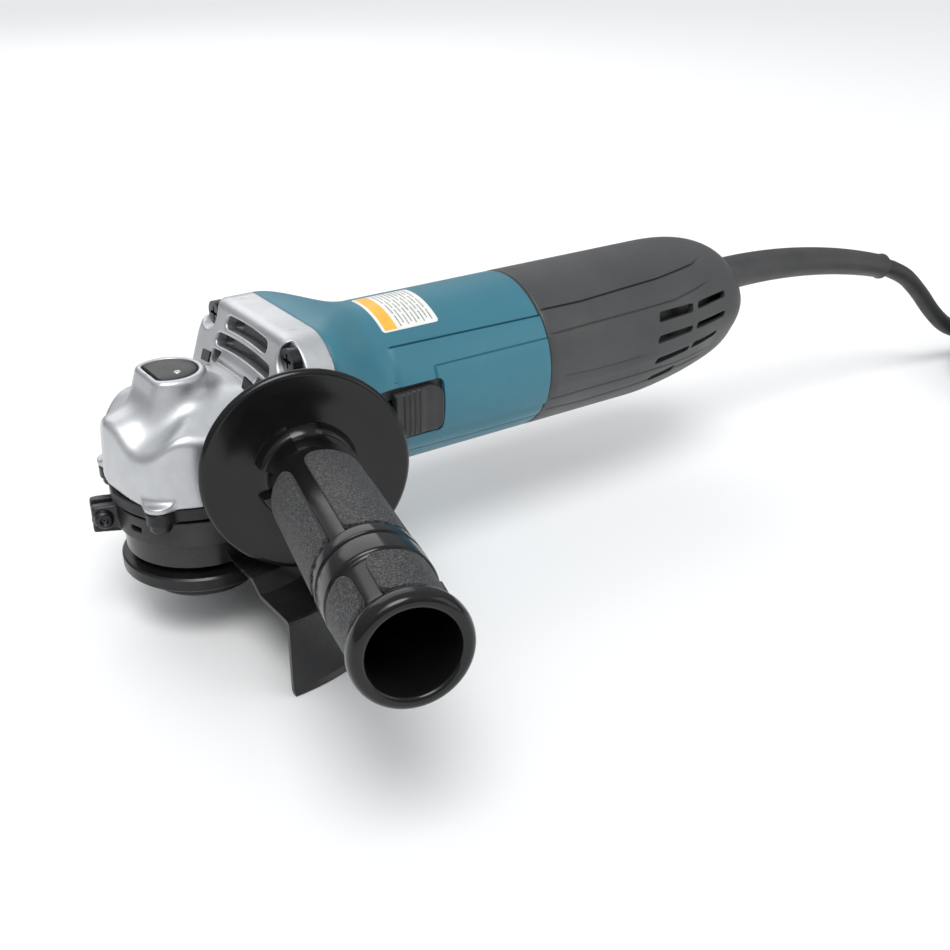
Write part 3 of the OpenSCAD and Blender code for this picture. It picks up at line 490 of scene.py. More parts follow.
def cast_field(x, y, z):
    """The gear housing: head, lock boss, neck, handle bosses and feet, less what is cut away."""
    ay = np.abs(y)
    upright = head_wall(x, ay) + 0.06 * (z + 5)
    nose_top = smax((z - 0.27 * x - 15.64) / 1.036, (z - 0.35 * x + 1.048 * ay - 22.5) / 1.49, 3.0)
    side_top = smax((z + 0.61 * ay - 22.14) / 1.171, (z - 0.68 * x - 0.19 * ay - 12.4) / 1.224, 3.0)
    slope = smax(smin(nose_top, side_top, 5.0), z - 14.6, 4.0)
    head = smax(upright, slope, 2.2)
    head = smax(head, x - 25, 1.0)
    head = smax(head, -z - 15, 1.2)
    head = smax(head, -0.6 * x - 0.8 * z - 26.5, 1.6)
    rho = np.hypot(x + 4.3, y)
    boss = smax(0.978 * (rho - 11.3) + 0.21 * (z - 20.4), 0.93 * (-x - 11.9) + 0.365 * (z - 20.4), 1.5)
    boss = smax(boss, z - 20.6, 1.5)
    boss = smax(boss, 4 - z, 1.0)
    d = smin(head, boss, 4.5)
    neck = smax(rounded_box(y, z, 34, 31.7, 15), -0.948 * x + 0.318 * z + 12.86, 3.2)
    neck = smax(neck, -0.908 * x - 0.419 * z + 10.97, 2.5)
    neck = smax(neck, x - 36, 0.5)
    d = smin(d, neck, 4.0)
    px, pz = x - HANDLE_AT[0], z - HANDLE_AT[2]
    s = px * HANDLE_Z[0] + ay * -HANDLE_Z[1] + pz * HANDLE_Z[2]
    u = px * HANDLE_X[0] - ay * HANDLE_X[1] + pz * HANDLE_X[2]
    v = px * HANDLE_Y[0] - ay * HANDLE_Y[1] + pz * HANDLE_Y[2]
    off = np.hypot(u, v)
    d = smin(d, smax(off - 9.5, between(s, 18, 36.5), 0.8), 2.5)
    ear = np.hypot(np.abs(x) - 19.6, ay - 19.6)
    d = smin(d, smax(ear - 4.5, between(z, -15.2, -13), 0.8), 2.4)
    # what is cut away
    flat = np.hypot(x, y)
    cuts = [  # (field, rounding)
        # below the head, the gear chamber and the spindle's bush
        (np.maximum(flat - 27.8, z + 15), 0.6),
        (np.maximum(np.maximum(np.abs(x) - 26.7, ay - 26.7), z + 15), 0.5),
        (np.maximum(flat - 21.6, between(z, -17, -2)), 0.5),
        (np.maximum(flat - 15, between(z, -4, 6)), 0.5),
        (np.maximum(flat - 24.2, z + 14.9), 0.5),
        (np.maximum(flat - 6.2, between(z, 4, 13)), 0.3),
        # the handle's seat and thread, the scallop beside it and the holes in the feet
        (np.maximum(off - 13, 36.5 - s), 0.4),
        (np.maximum(off - 4.1, 24 - s), 0.6),
        (smax(np.hypot(x + 7.5, z + 16) - 8.8, 26.8 - ay, 1.2), 0.8),
        (np.maximum(ear - 1.95, between(z, -18, -13.6)), 0.1),
        # the lock button's pocket and the pin's hole
        (np.maximum(smax(rho - 9.2, -x - 10.6, 1.2), 14.2 - z), 0.6),
        (np.maximum(np.hypot(x + 8.9, y) - 2.4, between(z, 0, 20)), 0.3),
        # the motor shaft, its bearing and the air space round it
        (np.maximum(np.hypot(y, z) - 9.2, 10 - x), 0.4),
        (np.maximum(np.hypot(y, z) - 14, between(x, 25, 33.2)), 0.4),
        (np.maximum(np.hypot(y, z) - 27.2, np.maximum(17.2 - np.hypot(y, z), 29.5 - x)), 0.5),
        # the neck's four screws
        (np.maximum(np.hypot(ay - 26, np.abs(z) - 25.5) - 2.1, 15 - x), 0.3),
        (np.maximum(np.hypot(ay - 27.2, np.abs(z) - 26) - 5.5, between(x, 10, 26.5)), 0.8),
    ]
    # the cooling slots, the ledge below them and two small marks
    for sx, sz, half, tall in ((22.4, 26.6, 14.3, 2.2), (20.4, 20.6, 18.8, 2.15)):
        along = (x - sx) * 0.951 - (z - sz) * 0.309
        across = (x - sx) * 0.309 + (z - sz) * 0.951 + 0.0032 * (y * y - 60)
        cuts.append((np.maximum(rounded_box(y, across, half, tall, 2.0), between(along, -5, 11)), 0.8))
    ledge_a = (x - 18) * 0.951 - (z - 15.6) * 0.309
    ledge_b = (x - 18) * 0.309 + (z - 15.6) * 0.951 + 0.0032 * (y * y - 60)
    cuts.append((np.maximum(rounded_box(ay - 16.0, ledge_b, 3.1, 1.9, 0.5), between(ledge_a, -8, 9)), 0.5))
    cuts.append((np.maximum(rounded_box(y, ledge_b, 18.6, 1.6, 0.5), between(ledge_a, -7, -0.7)), 0.6))
    tick = np.sqrt((x - 31.0) ** 2 * 0.12 + (ay - 17.6) ** 2 + (z - 32.9) ** 2 * 0.3)
    cuts.append((tick - 0.75, 0.5))
    for c, k in cuts:
        d = smax(d, -c, k)
    return d


def surface_net(func, lo, hi, step):
    """Vertices and outward quads of the zero surface of func, on a grid of cubes."""
    axes = [np.arange(a, b + step, step) for a, b in zip(lo, hi)]
    f = func(*np.meshgrid(*axes, indexing="ij"))
    s = f < 0
    n = [len(a) for a in axes]
    count = sum(s[i:n[0] - 1 + i, j:n[1] - 1 + j, k:n[2] - 1 + k].astype(np.int8)
                for i in (0, 1) for j in (0, 1) for k in (0, 1))
    cells = np.argwhere((count > 0) & (count < 8))
    index = np.full(count.shape, -1, np.int64)
    index[tuple(cells.T)] = np.arange(len(cells))
    total = np.zeros((len(cells), 3))
    hits = np.zeros(len(cells))
    corners = [np.array(c) for c in ((0, 0, 0), (1, 0, 0), (0, 1, 0), (1, 1, 0),
                                     (0, 0, 1), (1, 0, 1), (0, 1, 1), (1, 1, 1))]
    for a in corners:
        for b in corners:
            if tuple(a) < tuple(b) and np.abs(a - b).sum() == 1:
                fa, fb = f[tuple((cells + a).T)], f[tuple((cells + b).T)]
                cross = (fa < 0) != (fb < 0)
                t = np.where(cross, fa / np.where(cross, fa - fb, 1), 0)
                total += cross[:, None] * (a + t[:, None] * (b - a))
                hits += cross
    v = np.array(lo) + step * (cells + total / hits[:, None])
    quads = []
    for axis in range(3):
        o1, o2 = [(1, 2), (2, 0), (0, 1)][axis]
        a = np.take(s, range(n[axis] - 1), axis)
        b = np.take(s, range(1, n[axis]), axis)
        e = np.argwhere(a != b)
        e = e[(e[:, o1] > 0) & (e[:, o1] < n[o1] - 1) & (e[:, o2] > 0) & (e[:, o2] < n[o2] - 1)]
        d1, d2 = np.eye(3, dtype=int)[o1], np.eye(3, dtype=int)[o2]
        q = np.stack([index[tuple((e - u).T)] for u in (d1 + d2, d2, 0 * d1, d1)], -1)
        inside = a[tuple(e.T)]
        q[~inside] = q[~inside][:, ::-1]
        quads.append(q)
    return v, np.concatenate(quads)


def gradient(func, v, h=0.12):
    g = np.zeros_like(v)
    for i in range(3):
        d = np.zeros(3)
        d[i] = h
        g[:, i] = (func(*(v + d).T) - func(*(v - d).T)) / (2 * h)
    return g


def net_piece(name, field, lo, hi, step, body, mat, replaces):
    """A smooth piece from the zero surface of a field, with the field's own normals."""
    v, q = surface_net(field, lo, hi, step)
    for _ in range(2):
        g = gradient(field, v)
        move = -field(*v.T)[:, None] * g / np.maximum((g * g).sum(1), 0.2)[:, None]
        v += np.clip(move, -0.3, 0.3)
    g = gradient(field, v, min(0.2, step * 0.4))
    o = add(name, motor(v), q, body, mat, replaces, angle=180)
    g /= np.maximum(np.linalg.norm(g, axis=1), 1e-6)[:, None]
    o.data.normals_split_custom_set_from_vertices(g.tolist())


def box_field(x, y, z):
    """The black bearing box under the head: a plate with four screw ears and a collar for the guard."""
    ay, flat = np.abs(y), np.hypot(x, y)
    ear = np.hypot(np.abs(x) - 19.6, ay - 19.6)
    plate = smax(smax(head_wall(x, ay) + 0.5, x - 26.0, 4.0), np.abs(z + 17.4) - 2.15, 0.5)
    plate = smin(plate, smax(ear - 4.3, np.abs(z + 17.4) - 2.15, 0.5), 2.0)
    d = smin(plate, smax(flat - 23.2, np.abs(z + 24.6) - 9.4, 0.6), 0.6)
    for c in (np.maximum(flat - 16.05, -31 - z), np.maximum(flat - 18, -21.05 - z), flat - 12.2, ear - 2.2):
        d = smax(d, -c, 0.3)
    return d


CLAMP = math.radians(165)
BAND_Z = -25.4


def band_field(x, y, z):
    """The guard's clamping band, its two screw lugs and the finger plate beside them."""
    u = x * math.cos(CLAMP) + y * math.sin(CLAMP)
    w = -x * math.sin(CLAMP) + y * math.cos(CLAMP)
    h = np.abs(z - BAND_Z)
    ring = smax(np.abs(np.hypot(x, y) - 24.5) - 0.95, h - 4.4, 0.5)
    lugs = smax(np.abs(u - 28.4) - 4.6, smax(np.abs(w) - 4.6, h - 4.1, 1.2), 1.2)
    lugs = np.maximum(lugs, 24.2 - np.hypot(x, y))
    d = smin(ring, lugs, 1.0)
    tip = u - 24
    plate = smax(np.abs(w + 1.0 - 0.25 * tip) - 3.6, np.abs(z + 31.0 - 0.22 * tip) - 0.7, 0.3)
    plate = smax(np.abs(u - 28.6) - 4.4, plate, 0.5)
    d = smin(d, plate, 0.6)
    d = smax(d, -np.maximum(np.abs(w) - 1.4, 22 - u), 0.3)
    d = smax(d, -np.hypot(u - 29.6, z - BAND_Z) + 2.1, 0.2)
    a = np.arctan2(-y, -x)
    slot = rounded_box((a - math.radians(20)) * 24.5, z - BAND_Z, 2.3, 0.9, 0.6)
    return smax(d, -np.maximum(slot, 20 - np.hypot(x, y)), 0.3)


def clamp_screw():
    """The guard clamp's cross-head screw and its nut, in the lugs' plane."""
    across = np.array([-math.sin(CLAMP), math.cos(CLAMP), 0])
    out = np.array([math.cos(CLAMP), math.sin(CLAMP), 0])
    place = turned(29.6 * out + [0, 0, BAND_Z + AXIS_H], out, (0, 0, 1), across)
    head = rounded_profile([(0.3, 5.9, 0), (0.9, 5.9, 0.1), (1.5, 6.9, 0.2), (2.5, 6.6, 0.5), (3.1, 5.6, 0.5),
                            (3.1, 4.6, 0), (1.95, 4.5, 0), (1.95, -7.4, 0.3), (0.3, -7.6, 0)], 4)
    lathe("clamp_screw", head, 40, place, "guard", M["screw"], ["guard_screw"])
    nut = rounded_profile([(2.0, -4.6, 0), (3.4, -4.6, 0.3), (3.4, -6.6, 0.5), (2.0, -6.9, 0)], 4)
    lathe("clamp_nut", np.concatenate([nut, nut[:1]]), 6, place, "guard", M["screw"])


def box_screws():
    """The four socket screws under the bearing box."""
    prof = rounded_profile([(0.2, -21.4, 0), (1.5, -21.4, 0.1), (1.5, -22.3, 0.2), (2.9, -22.3, 0.5),
                            (3.5, -21.4, 0.4), (3.5, -19.7, 0), (1.85, -19.65, 0), (1.85, -14.2, 0.3),
                            (0.2, -13.9, 0)], 4)
    for i, (sx, sy) in enumerate(((1, 1), (1, -1), (-1, 1), (-1, -1))):
        place = turned(np.array([19.6 * sx, 19.6 * sy, AXIS_H]), (1, 0, 0), (0, 1, 0), (0, 0, 1))
        lathe(f"box_screw_{i + 1}", prof, 36, place, "housing", M["screw"],
              ["bearing_box_screws"] if i == 0 else ())


def slot_shade_panels():
    """Black panels a little way inside the cooling slots of the neck and the ledge pockets below them:
    painted shade, dark sheets standing for the shadowed inside of the slots.
    """
    for i, (sx, sz, at, half, tall, deep) in enumerate((
            (22.4, 26.6, 0, 14.1, 2.1, 3.6), (20.4, 20.6, 0, 18.6, 2.05, 3.6),
            (18.0, 15.6, 14.4, 2.6, 1.8, -4.0), (18.0, 15.6, -16, 3.0, 1.8, -4.0))):
        y = np.linspace(at - half, at + half, 31)[:, None]
        w = np.array([-tall, tall, tall, -tall])[None, :] - 0.0032 * (y * y - 60)
        along = deep + np.array([0, 0, 0.7, 0.7])[None, :] + 0 * y
        v = np.stack([sx + 0.951 * along + 0.309 * w, y + 0 * w, sz - 0.309 * along + 0.951 * w], -1)
        f = [tuple(q) for q in grid_faces(31, 4, close_v=True)] + [(3, 2, 1, 0), (120, 121, 122, 123)]
        add(f"painted_shade_panel_{i + 1}", motor(v.reshape(-1, 3)), f, "housing", M["gloss"])


# ---------- shells about the motor axis ----------


def rect_radius(theta, w, h, c):
    """How far a rounded rectangle's edge lies from its middle in the direction theta from +Z."""
    sn, cs = np.abs(np.sin(theta)), np.abs(np.cos(theta))
    top = h / np.maximum(cs, 1e-9)
    side = w / np.maximum(sn, 1e-9)
    r = np.where(top * sn <= w - c, top, side)
    a, b = (w - c) * sn + (h - c) * cs, (w - c) ** 2 + (h - c) ** 2 - c * c
    corner = a + np.sqrt(np.maximum(a * a - b, 0))
    flat = (top * sn <= w - c) | (side * cs <= h - c)
    return np.where(flat, r, corner)


def near_outline(points, outline):
    """The nearest points of a closed outline."""
    a, b = outline, np.roll(outline, -1, 0)
    d = b - a
    t = np.clip(((points[:, None] - a) * d).sum(-1) / (d * d).sum(-1), 0, 1)
    q = a + t[..., None] * d
    k = ((points[:, None] - q) ** 2).sum(-1).argmin(1)
    return q[np.arange(len(points)), k]


def in_outline(p, outline):
    a, b = outline, np.roll(outline, -1, 0)
    x, y = p[..., 0, None], p[..., 1, None]
    up = (a[:, 1] > y) != (b[:, 1] > y)
    xs = a[:, 0] + (y - a[:, 1]) * (b[:, 0] - a[:, 0]) / np.where(b[:, 1] == a[:, 1], 1e-9, b[:, 1] - a[:, 1])
    return ((up & (x < xs)).sum(-1) % 2).astype(bool)


def rounded(corners, r, n=5):
    """A polygon with its corners rounded."""
    p = np.asarray(corners, float)
    out = []
    for i in range(len(p)):
        a, b, c = p[i - 1], p[i], p[(i + 1) % len(p)]
        ra = min(r, np.linalg.norm(a - b) / 2.05)
        rc = min(r, np.linalg.norm(c - b) / 2.05)
        s, e = b + (a - b) / np.linalg.norm(a - b) * ra, b + (c - b) / np.linalg.norm(c - b) * rc
        for t in np.linspace(0, 1, n):
            out.append((1 - t) ** 2 * s + 2 * (1 - t) * t * b + t * t * e)
    return np.array(out)


OFFSETS = np.array([-1.3, -0.8, -0.5, -0.3, -0.12, 0.12, 0.3, 0.5, 0.8, 1.3])


def polar_shell(name, xs, lines, radius, wall, holes, mat, replaces, step=1.15, mirror=True):
    """A closed shell about the motor axis. Its grid follows lines, which are arrays of degrees along xs on
    the -Y side, mirrored to the other. radius(x, degrees) is its outside. Holes are outlines in (x,
    millimetres round the barrel from the top), on both sides if mirror is true."""
    deg = 180 / np.pi / BARREL
    rows = [np.zeros(len(xs))]
    for ln in list(lines) + [np.full(len(xs), 180.0)]:
        first = ln + (OFFSETS[0] * deg if ln[0] < 179 else 0)
        gap = (first - rows[-1]).mean() / deg
        k = max(int(round(gap / step)), 1)
        base = rows[-1]
        for i in range(1, k + 1):
            rows.append(base + (first - base) * i / k)
        if ln[0] < 179:
            for o in OFFSETS[1:]:
                rows.append(ln + o * deg)
    half = np.array(rows)
    th = np.concatenate([half, 360 - half[-2:0:-1]]).T
    n, m = th.shape
    uv = np.stack([np.repeat(xs[:, None], m, 1), th / deg], -1)
    quads = grid_faces(n, m, close_v=True)
    keep = np.ones(len(quads), bool)
    full = 360 / deg
    outlines = []
    for h in holes:
        h = np.asarray(h, float)
        outlines.append(h)
        if mirror:
            outlines.append(np.stack([h[:, 0], full - h[:, 1]], -1))
    flat = uv.reshape(-1, 2).copy()
    for h in outlines:
        centre = flat[quads].mean(1)
        wrap = np.ptp(flat[quads][..., 1], axis=1) > full / 2
        dead = in_outline(centre, h) & ~wrap
        border = np.intersect1d(np.unique(quads[dead]), np.unique(quads[keep & ~dead]))
        keep &= ~dead
        if len(border):
            flat[border] = near_outline(flat[border], h)
    x, d = flat[:, 0], flat[:, 1] * deg
    r = radius(x, np.where(d > 180, 360 - d, d))
    a = np.radians(d)
    rin = np.maximum(r - wall, 0.5)
    outer = np.stack([x, -r * np.sin(a), r * np.cos(a)], -1)
    inner = np.stack([x, -rin * np.sin(a), rin * np.cos(a)], -1)
    kept = quads[keep]
    edges = {}
    for q in kept:
        for i in range(4):
            e = (q[i], q[(i + 1) % 4])
            k = (min(e), max(e))
            edges[k] = None if k in edges else e
    big = len(flat)
    faces = [tuple(q) for q in kept] + [tuple(q[::-1] + big) for q in kept]
    faces += [(e[1], e[0], e[0] + big, e[1] + big) for e in edges.values() if e]
    verts = np.concatenate([outer, inner])
    used = np.unique(np.concatenate([np.array(f) for f in faces]))
    again = np.full(len(verts), -1)
    again[used] = np.arange(len(used))
    return add(name, motor(verts[used]), [tuple(again[list(f)]) for f in faces], "housing", mat,
               replaces, angle=32)


def bell(d, w):
    return np.exp(-(d / w) ** 2)


def line_at(xs, points):
    p = np.array(points, float)
    return np.interp(xs, p[:, 0], p[:, 1])


def spaced(*spans):
    """Samples along several spans, each (start, end, step), with their ends kept."""
    out = [spans[0][0]]
    for a, b, s in spans:
        k = max(int(round((b - a) / s)), 1)
        out += list(a + (b - a) * np.arange(1, k + 1) / k)
    return np.array(out)


BLUE = {
    "bold": [(36, 46.5), (62, 46.5), (123, 48.3)],
    "thin": [(36, 65), (123, 65)],
    "low": [(36, 112), (74, 112), (92, 113.2), (123, 114.6)],
    "bottom": [(36, 127.8), (69, 127.8), (95, 130), (123, 129.7)],
}


def blue_radius(x, d):
    t = smoothstep(38.5, 63.5, x)
    r = rect_radius(np.radians(d), 34 - 5.5 * t, 31.7 - 3.2 * t, 15 + 13.4 * smoothstep(36, 58, x))
    gap = {k: (d - line_at(x, v)) * DEGREE for k, v in BLUE.items()}
    on = smoothstep(60.5, 63.5, x)
    r = r + 0.75 * on * smoothstep(-0.1, 0.5, gap["bold"]) * (1 - smoothstep(-0.5, 0.1, gap["low"]))
    r = r + 0.3 * smoothstep(75.6, 76.6, x) * smoothstep(-0.2, 0.3, gap["thin"]) * (
        1 - smoothstep(-0.5, 0.1, gap["low"]))
    r = r - 0.95 * bell(gap["bold"], 0.34) * smoothstep(62, 63, x)
    r = r - 0.55 * bell(gap["thin"], 0.22) * smoothstep(75.8, 76.3, x)
    r = r - 0.5 * bell(x - 76, 0.3) * smoothstep(-0.2, 0.3, gap["thin"]) * (1 - smoothstep(76, 80, d))
    r = r - 0.5 * bell(gap["low"], 0.32) * smoothstep(70, 74, x)
    r = r - 0.6 * bell(gap["bottom"], 0.34) * smoothstep(64, 69, x)
    r = r + 0.45 * on * bell(gap["bottom"] + 3.4, 2.4)
    r = r - 0.4 * bell(x - 36.0, 0.35) - 0.8 * bell(x - SEAM, 0.4)
    return r


def motor_shell():
    xs = spaced((36.0, 36.6, 0.2), (36.6, 60, 1.1), (60, 64, 0.5), (64, 75, 1.1), (75, 77, 0.2),
                (77, 122, 1.4), (122, 123, 0.2))
    lines = [line_at(xs, BLUE[k]) for k in ("bold", "thin", "low", "bottom")]
    arc = lambda z: BARREL * math.acos(z / BARREL)
    bed = rounded([(51.6, arc(8.4)), (78.2, arc(8.4)), (78.2, arc(-9.9)), (51.6, arc(-9.9))], 2.2)
    polar_shell("motor_barrel", xs, lines, blue_radius, 2.6, [bed], M["blue"],
                ["motor_housing"], mirror=False)


REAR = {
    "bold": [(123, 44.6), (142, 45.2), (164, 42.9), (180, 41.3), (192, 38.2), (198.6, 36.1),
             (204, 31.4), (231, 20)],
    "thin": [(123, 63.3), (146, 62.3), (167, 61.6), (183, 60.5), (195, 56.2), (202, 52.2), (231, 40)],
    "crease": [(123, 95.0), (132, 95.4), (144, 96.8), (159, 96.7), (173.5, 94.7), (191, 92.4),
               (205.5, 91.5), (231, 90)],
    "strip": [(123, 113), (139, 112.5), (161, 112.3), (176, 111.6), (187, 112.4), (231, 112)],
    "edge": [(123, 124), (142, 127), (164, 125.9), (182, 121), (231, 119)],
}
VENTS = [((174.5, 191.5), (66.3, 65.7), (74, 72.3)), ((194, 210.5), (65.5, 61.8), (71.1, 67.1)),
         ((173.5, 190.8), (83.6, 82.0), (89.6, 86.8)), ((193, 209.6), (80.7, 77.9), (86, 83)),
         ((173.4, 190.5), (100.8, 98.2), (106.4, 103)), ((191.9, 206.6), (96.4, 94.0), (102, 98.6)),
         ((174.6, 187), (119.7, 116.4), (125.5, 123))]


def tail(x):
    """The rear grip's plain radius, which closes toward the cord."""
    t = np.clip((x - 190) / 40, 0, 1)
    return 10 + 18.6 * np.sqrt(np.maximum(1 - t ** 2.5, 0))


def rear_radius(x, d):
    """The grip's radius; its flanks and underside draw in toward the tail more than the top does."""
    gap = {k: (d - line_at(x, v)) * DEGREE for k, v in REAR.items()}
    on = smoothstep(123.4, 126, x) * (1 - smoothstep(196, 208, x))
    r = tail(x) * (1 - 0.13 * smoothstep(70, 118, d) * smoothstep(172, 214, x))
    r = r + 0.5 * on * smoothstep(0.0, 0.9, gap["bold"]) * (1 - smoothstep(-0.9, 0.0, gap["strip"]))
    r = r - 1.0 * bell(gap["bold"], 0.36) * on
    r = r - 0.6 * bell(gap["thin"], 0.24) * on
    r = r - 0.5 * bell(gap["crease"], 0.5) * smoothstep(127, 131, x) * (1 - smoothstep(164, 172, x))
    r = r + 0.35 * on * bell(gap["crease"] - 2.4, 1.8)
    r = r - 0.55 * bell(gap["strip"], 0.4) * on
    r = r - 0.5 * bell(gap["edge"], 0.5) * on
    r = r - 0.9 * bell(x - SEAM, 0.45)
    return r


def vent_liner():
    """The dark inner wall behind the ventilation slots, open at both ends."""
    xs = spaced((172, 224, 2.0))
    radius = np.minimum(22.0, tail(xs) * 0.87 - 3.2)
    back = radius - 1.0
    x = np.concatenate([xs, xs[::-1]])
    r = np.concatenate([radius, back[::-1]])
    a = np.linspace(0, 2 * np.pi, 64, endpoint=False)
    v = np.stack(np.broadcast_arrays(x, -r * np.sin(a)[:, None], r * np.cos(a)[:, None]), -1)
    f = [tuple(q) for q in grid_faces(64, len(x), close_u=True, close_v=True)]
    add("vent_liner", motor(v.reshape(-1, 3)), f, "housing", M["black"])


def rear_shell():
    xs = spaced((123.05, 124.2, 0.25), (124.2, 171, 1.5), (171, 214, 0.62), (214, 226, 0.9), (226, 229, 0.5),
                (229, 229.9, 0.2))
    holes = []
    for (x0, x1), (a0, a1), (b0, b1) in VENTS:
        holes.append(rounded([(x0, a0 * DEGREE), (x1, a1 * DEGREE), (x1 - 0.6, b1 * DEGREE),
                              (x0 - 0.6, b0 * DEGREE)], 0.9, 4))
    lines = [line_at(xs, REAR[k]) for k in ("bold", "thin", "crease", "strip", "edge")]
    polar_shell("rear_grip", xs, lines, rear_radius, 2.5, holes, M["dark"], ["rear_cover"],
                step=0.7)


# ---------- the side handle ----------


def rounded_profile(points, n=5):
    """A profile of (r, s, rounding) corners."""
    out = []
    for i, (r, s, k) in enumerate(points):
        if k == 0 or i in (0, len(points) - 1):
            out.append((r, s))
            continue
        b = np.array((r, s))
        a, c = np.array(points[i - 1][:2]), np.array(points[i + 1][:2])
        la, lc = np.linalg.norm(a - b), np.linalg.norm(c - b)
        p, q = b + (a - b) / la * min(k, la * 0.49), b + (c - b) / lc * min(k, lc * 0.49)
        for t in np.linspace(0, 1, n):
            out.append(tuple((1 - t) ** 2 * p + 2 * (1 - t) * t * b + t * t * q))
    return np.array(out)


def lathe(name, profile, sides, place, body, mat, replaces=(), span=None, angle=30):
    """Turns a profile, whole or over a span of angles, where it is closed."""
    p = np.asarray(profile, float)
    m = len(p)
    if span is None:
        a = np.linspace(0, 2 * np.pi, sides, endpoint=False)
        v = place(a[:, None], p[None, :, 0], p[None, :, 1]).reshape(-1, 3)
        f = [tuple(q) for q in grid_faces(sides, m, close_u=True)]
    else:
        a = np.radians(np.linspace(*span, sides))
        v = place(a[:, None], p[None, :, 0], p[None, :, 1]).reshape(-1, 3)
        f = [tuple(q) for q in grid_faces(sides, m, close_v=True)]
        f += [tuple(range(m))[::-1], tuple((sides - 1) * m + i for i in range(m))]
    return add(name, v, f, body, mat, replaces, angle)


PAD_TURN = 76.0  # the middle of the first row of pads, in degrees round the handle


def side_handle():
    prof = rounded_profile([
        (0.5, 36.5, 0), (12, 36.5, 0.5), (13.2, 40.2, 0.8), (31, 40.9, 1.0), (32.7, 42.3, 0.9),
        (31.4, 44.0, 0.9), (22.5, 43.0, 2.5), (14.4, 43.2, 1.6), (12.0, 45.4, 1.2), (12.1, 50.0, 2.0),
        (13.3, 57.0, 3.0),
        (13.6, 112.6, 0.8), (15.0, 113.6, 0.7), (15.1, 118.3, 0.4), (14.2, 118.7, 0.15), (14.2, 119.4, 0.15),
        (15.1, 119.8, 0.4), (15.0, 127.6, 0.7), (13.5, 128.5, 0.8), (12.8, 145.4, 2.0), (13.4, 147.2, 1.2),
        (15.0, 148.2, 1.2), (15.8, 150.9, 1.8), (15.2, 153.5, 1.4), (13.7, 154.5, 0.8), (11.9, 154.2, 0.9),
        (11.4, 152.6, 0.9), (11.3, 112.5, 1.0), (0.5, 112.0, 0)])
    lathe("handle_grip", prof, 128, handle_points, "housing", M["gloss"], ["handle_core"])
    lug = rounded_profile([(11.2, 42.9, 0), (16.4, 42.8, 0), (15.9, 44.6, 0.7), (15.7, 47.2, 0.9),
                           (14.6, 48.4, 0.7), (11.2, 48.6, 0)])
    for i in range(4):
        mid = 46 + 90 * i
        lathe(f"handle_lug_{i + 1}", lug, 22, handle_points, "housing", M["gloss"],
              span=(mid - 26.5, mid + 26.5))
    for i in range(4):
        pad_patch(f"root_pad_{i + 1}", 62.6, 112.9, 90 * i + PAD_TURN, 35, 14.9, 15.0, i == 0)
        pad_patch(f"front_pad_{i + 1}", 128.9, 146.6, 90 * i + PAD_TURN, 35.5, 14.9, 14.2, False)


def pad_patch(name, s0, s1, turn, half, r0, r1, first):
    """A raised rubber pad with rounded corners on the grip."""
    length = s1 - s0
    edge = np.array([0, 0.0001, 0.35, 0.9, 1.6, 2.4, 3.4])
    us = np.concatenate([edge, np.linspace(4.6, length - 4.6, 22), length - edge[::-1]])
    cr = 4.2
    vs = np.concatenate([[0, 0.0001, 0.02, 0.06], np.linspace(0.12, 0.88, 13), [0.94, 0.98, 0.9999, 1]])
    n, m = len(us), len(vs)
    near = np.minimum(us, length - us)
    cut = np.where(near < cr, cr - np.sqrt(np.maximum(cr * cr - (cr - near) ** 2, 0)), 0) / 14.5 * 180 / np.pi
    a = turn + (vs[None, :] * 2 - 1) * (half - cut)[:, None]
    top = np.interp(us, [0, length], [r0, r1])[:, None] + np.zeros((1, m))
    rise = np.ones((n, m))
    rise[:, [0, -1]] = 0
    rise[[0, -1], :] = 0
    rise[1:-1, 1] = np.minimum(rise[1:-1, 1], 0.72)
    rise[1:-1, -2] = np.minimum(rise[1:-1, -2], 0.72)
    rise[1, 1:-1] = np.minimum(rise[1, 1:-1], 0.72)
    rise[-2, 1:-1] = np.minimum(rise[-2, 1:-1], 0.72)
    r = (top - 2.6) + 2.6 * rise
    v = handle_points(np.radians(a), r, (s0 + us)[:, None] + np.zeros((1, m))).reshape(-1, 3)
    f = grid_faces(n, m, flip=True)
    add(name, v, f, "housing", M["pad"], ["handle_pads"] if first else (), angle=50)


# ---------- the slide switch ----------


def scan_patch(name, xs, low, high, rise, place, body, mat, replaces=(), bevel=0.5, depth=1.5, inner=12,
               angle=35):
    """A raised patch between the edges low(x) and high(x), with a rounded border. place maps (x, across,
    height) to the motor's frame."""
    xs = np.asarray(xs, float)
    e = np.array([0.0, 0.0, 0.25, 0.6, 1.0]) * bevel
    drop = np.array([depth, bevel, bevel * 0.45, bevel * 0.12, 0.0])
    middle = xs[(xs > xs[0] + bevel) & (xs < xs[-1] - bevel)]
    xr = np.concatenate([xs[0] + e[:-1], middle, xs[-1] - e[-2::-1]])
    n = len(xr)
    m = 2 * len(e) + inner
    lo, hi = low(xr)[:, None], high(xr)[:, None]
    t = np.linspace(0, 1, inner + 2)[1:-1]
    w = np.concatenate([lo + e, (lo + bevel) + (hi - lo - 2 * bevel) * t, hi - e[::-1]], 1)
    side = np.concatenate([drop, np.zeros(inner), drop[::-1]])
    end = np.zeros(n)
    end[:4], end[-4:] = drop[:4], drop[3::-1]
    down = np.maximum(side[None, :], end[:, None])
    h = rise(xr[:, None] + 0 * w, w) - down
    v = place(xr[:, None] + 0 * w, w, h).reshape(-1, 3)
    return add(name, v, grid_faces(n, m), body, mat, replaces, angle)


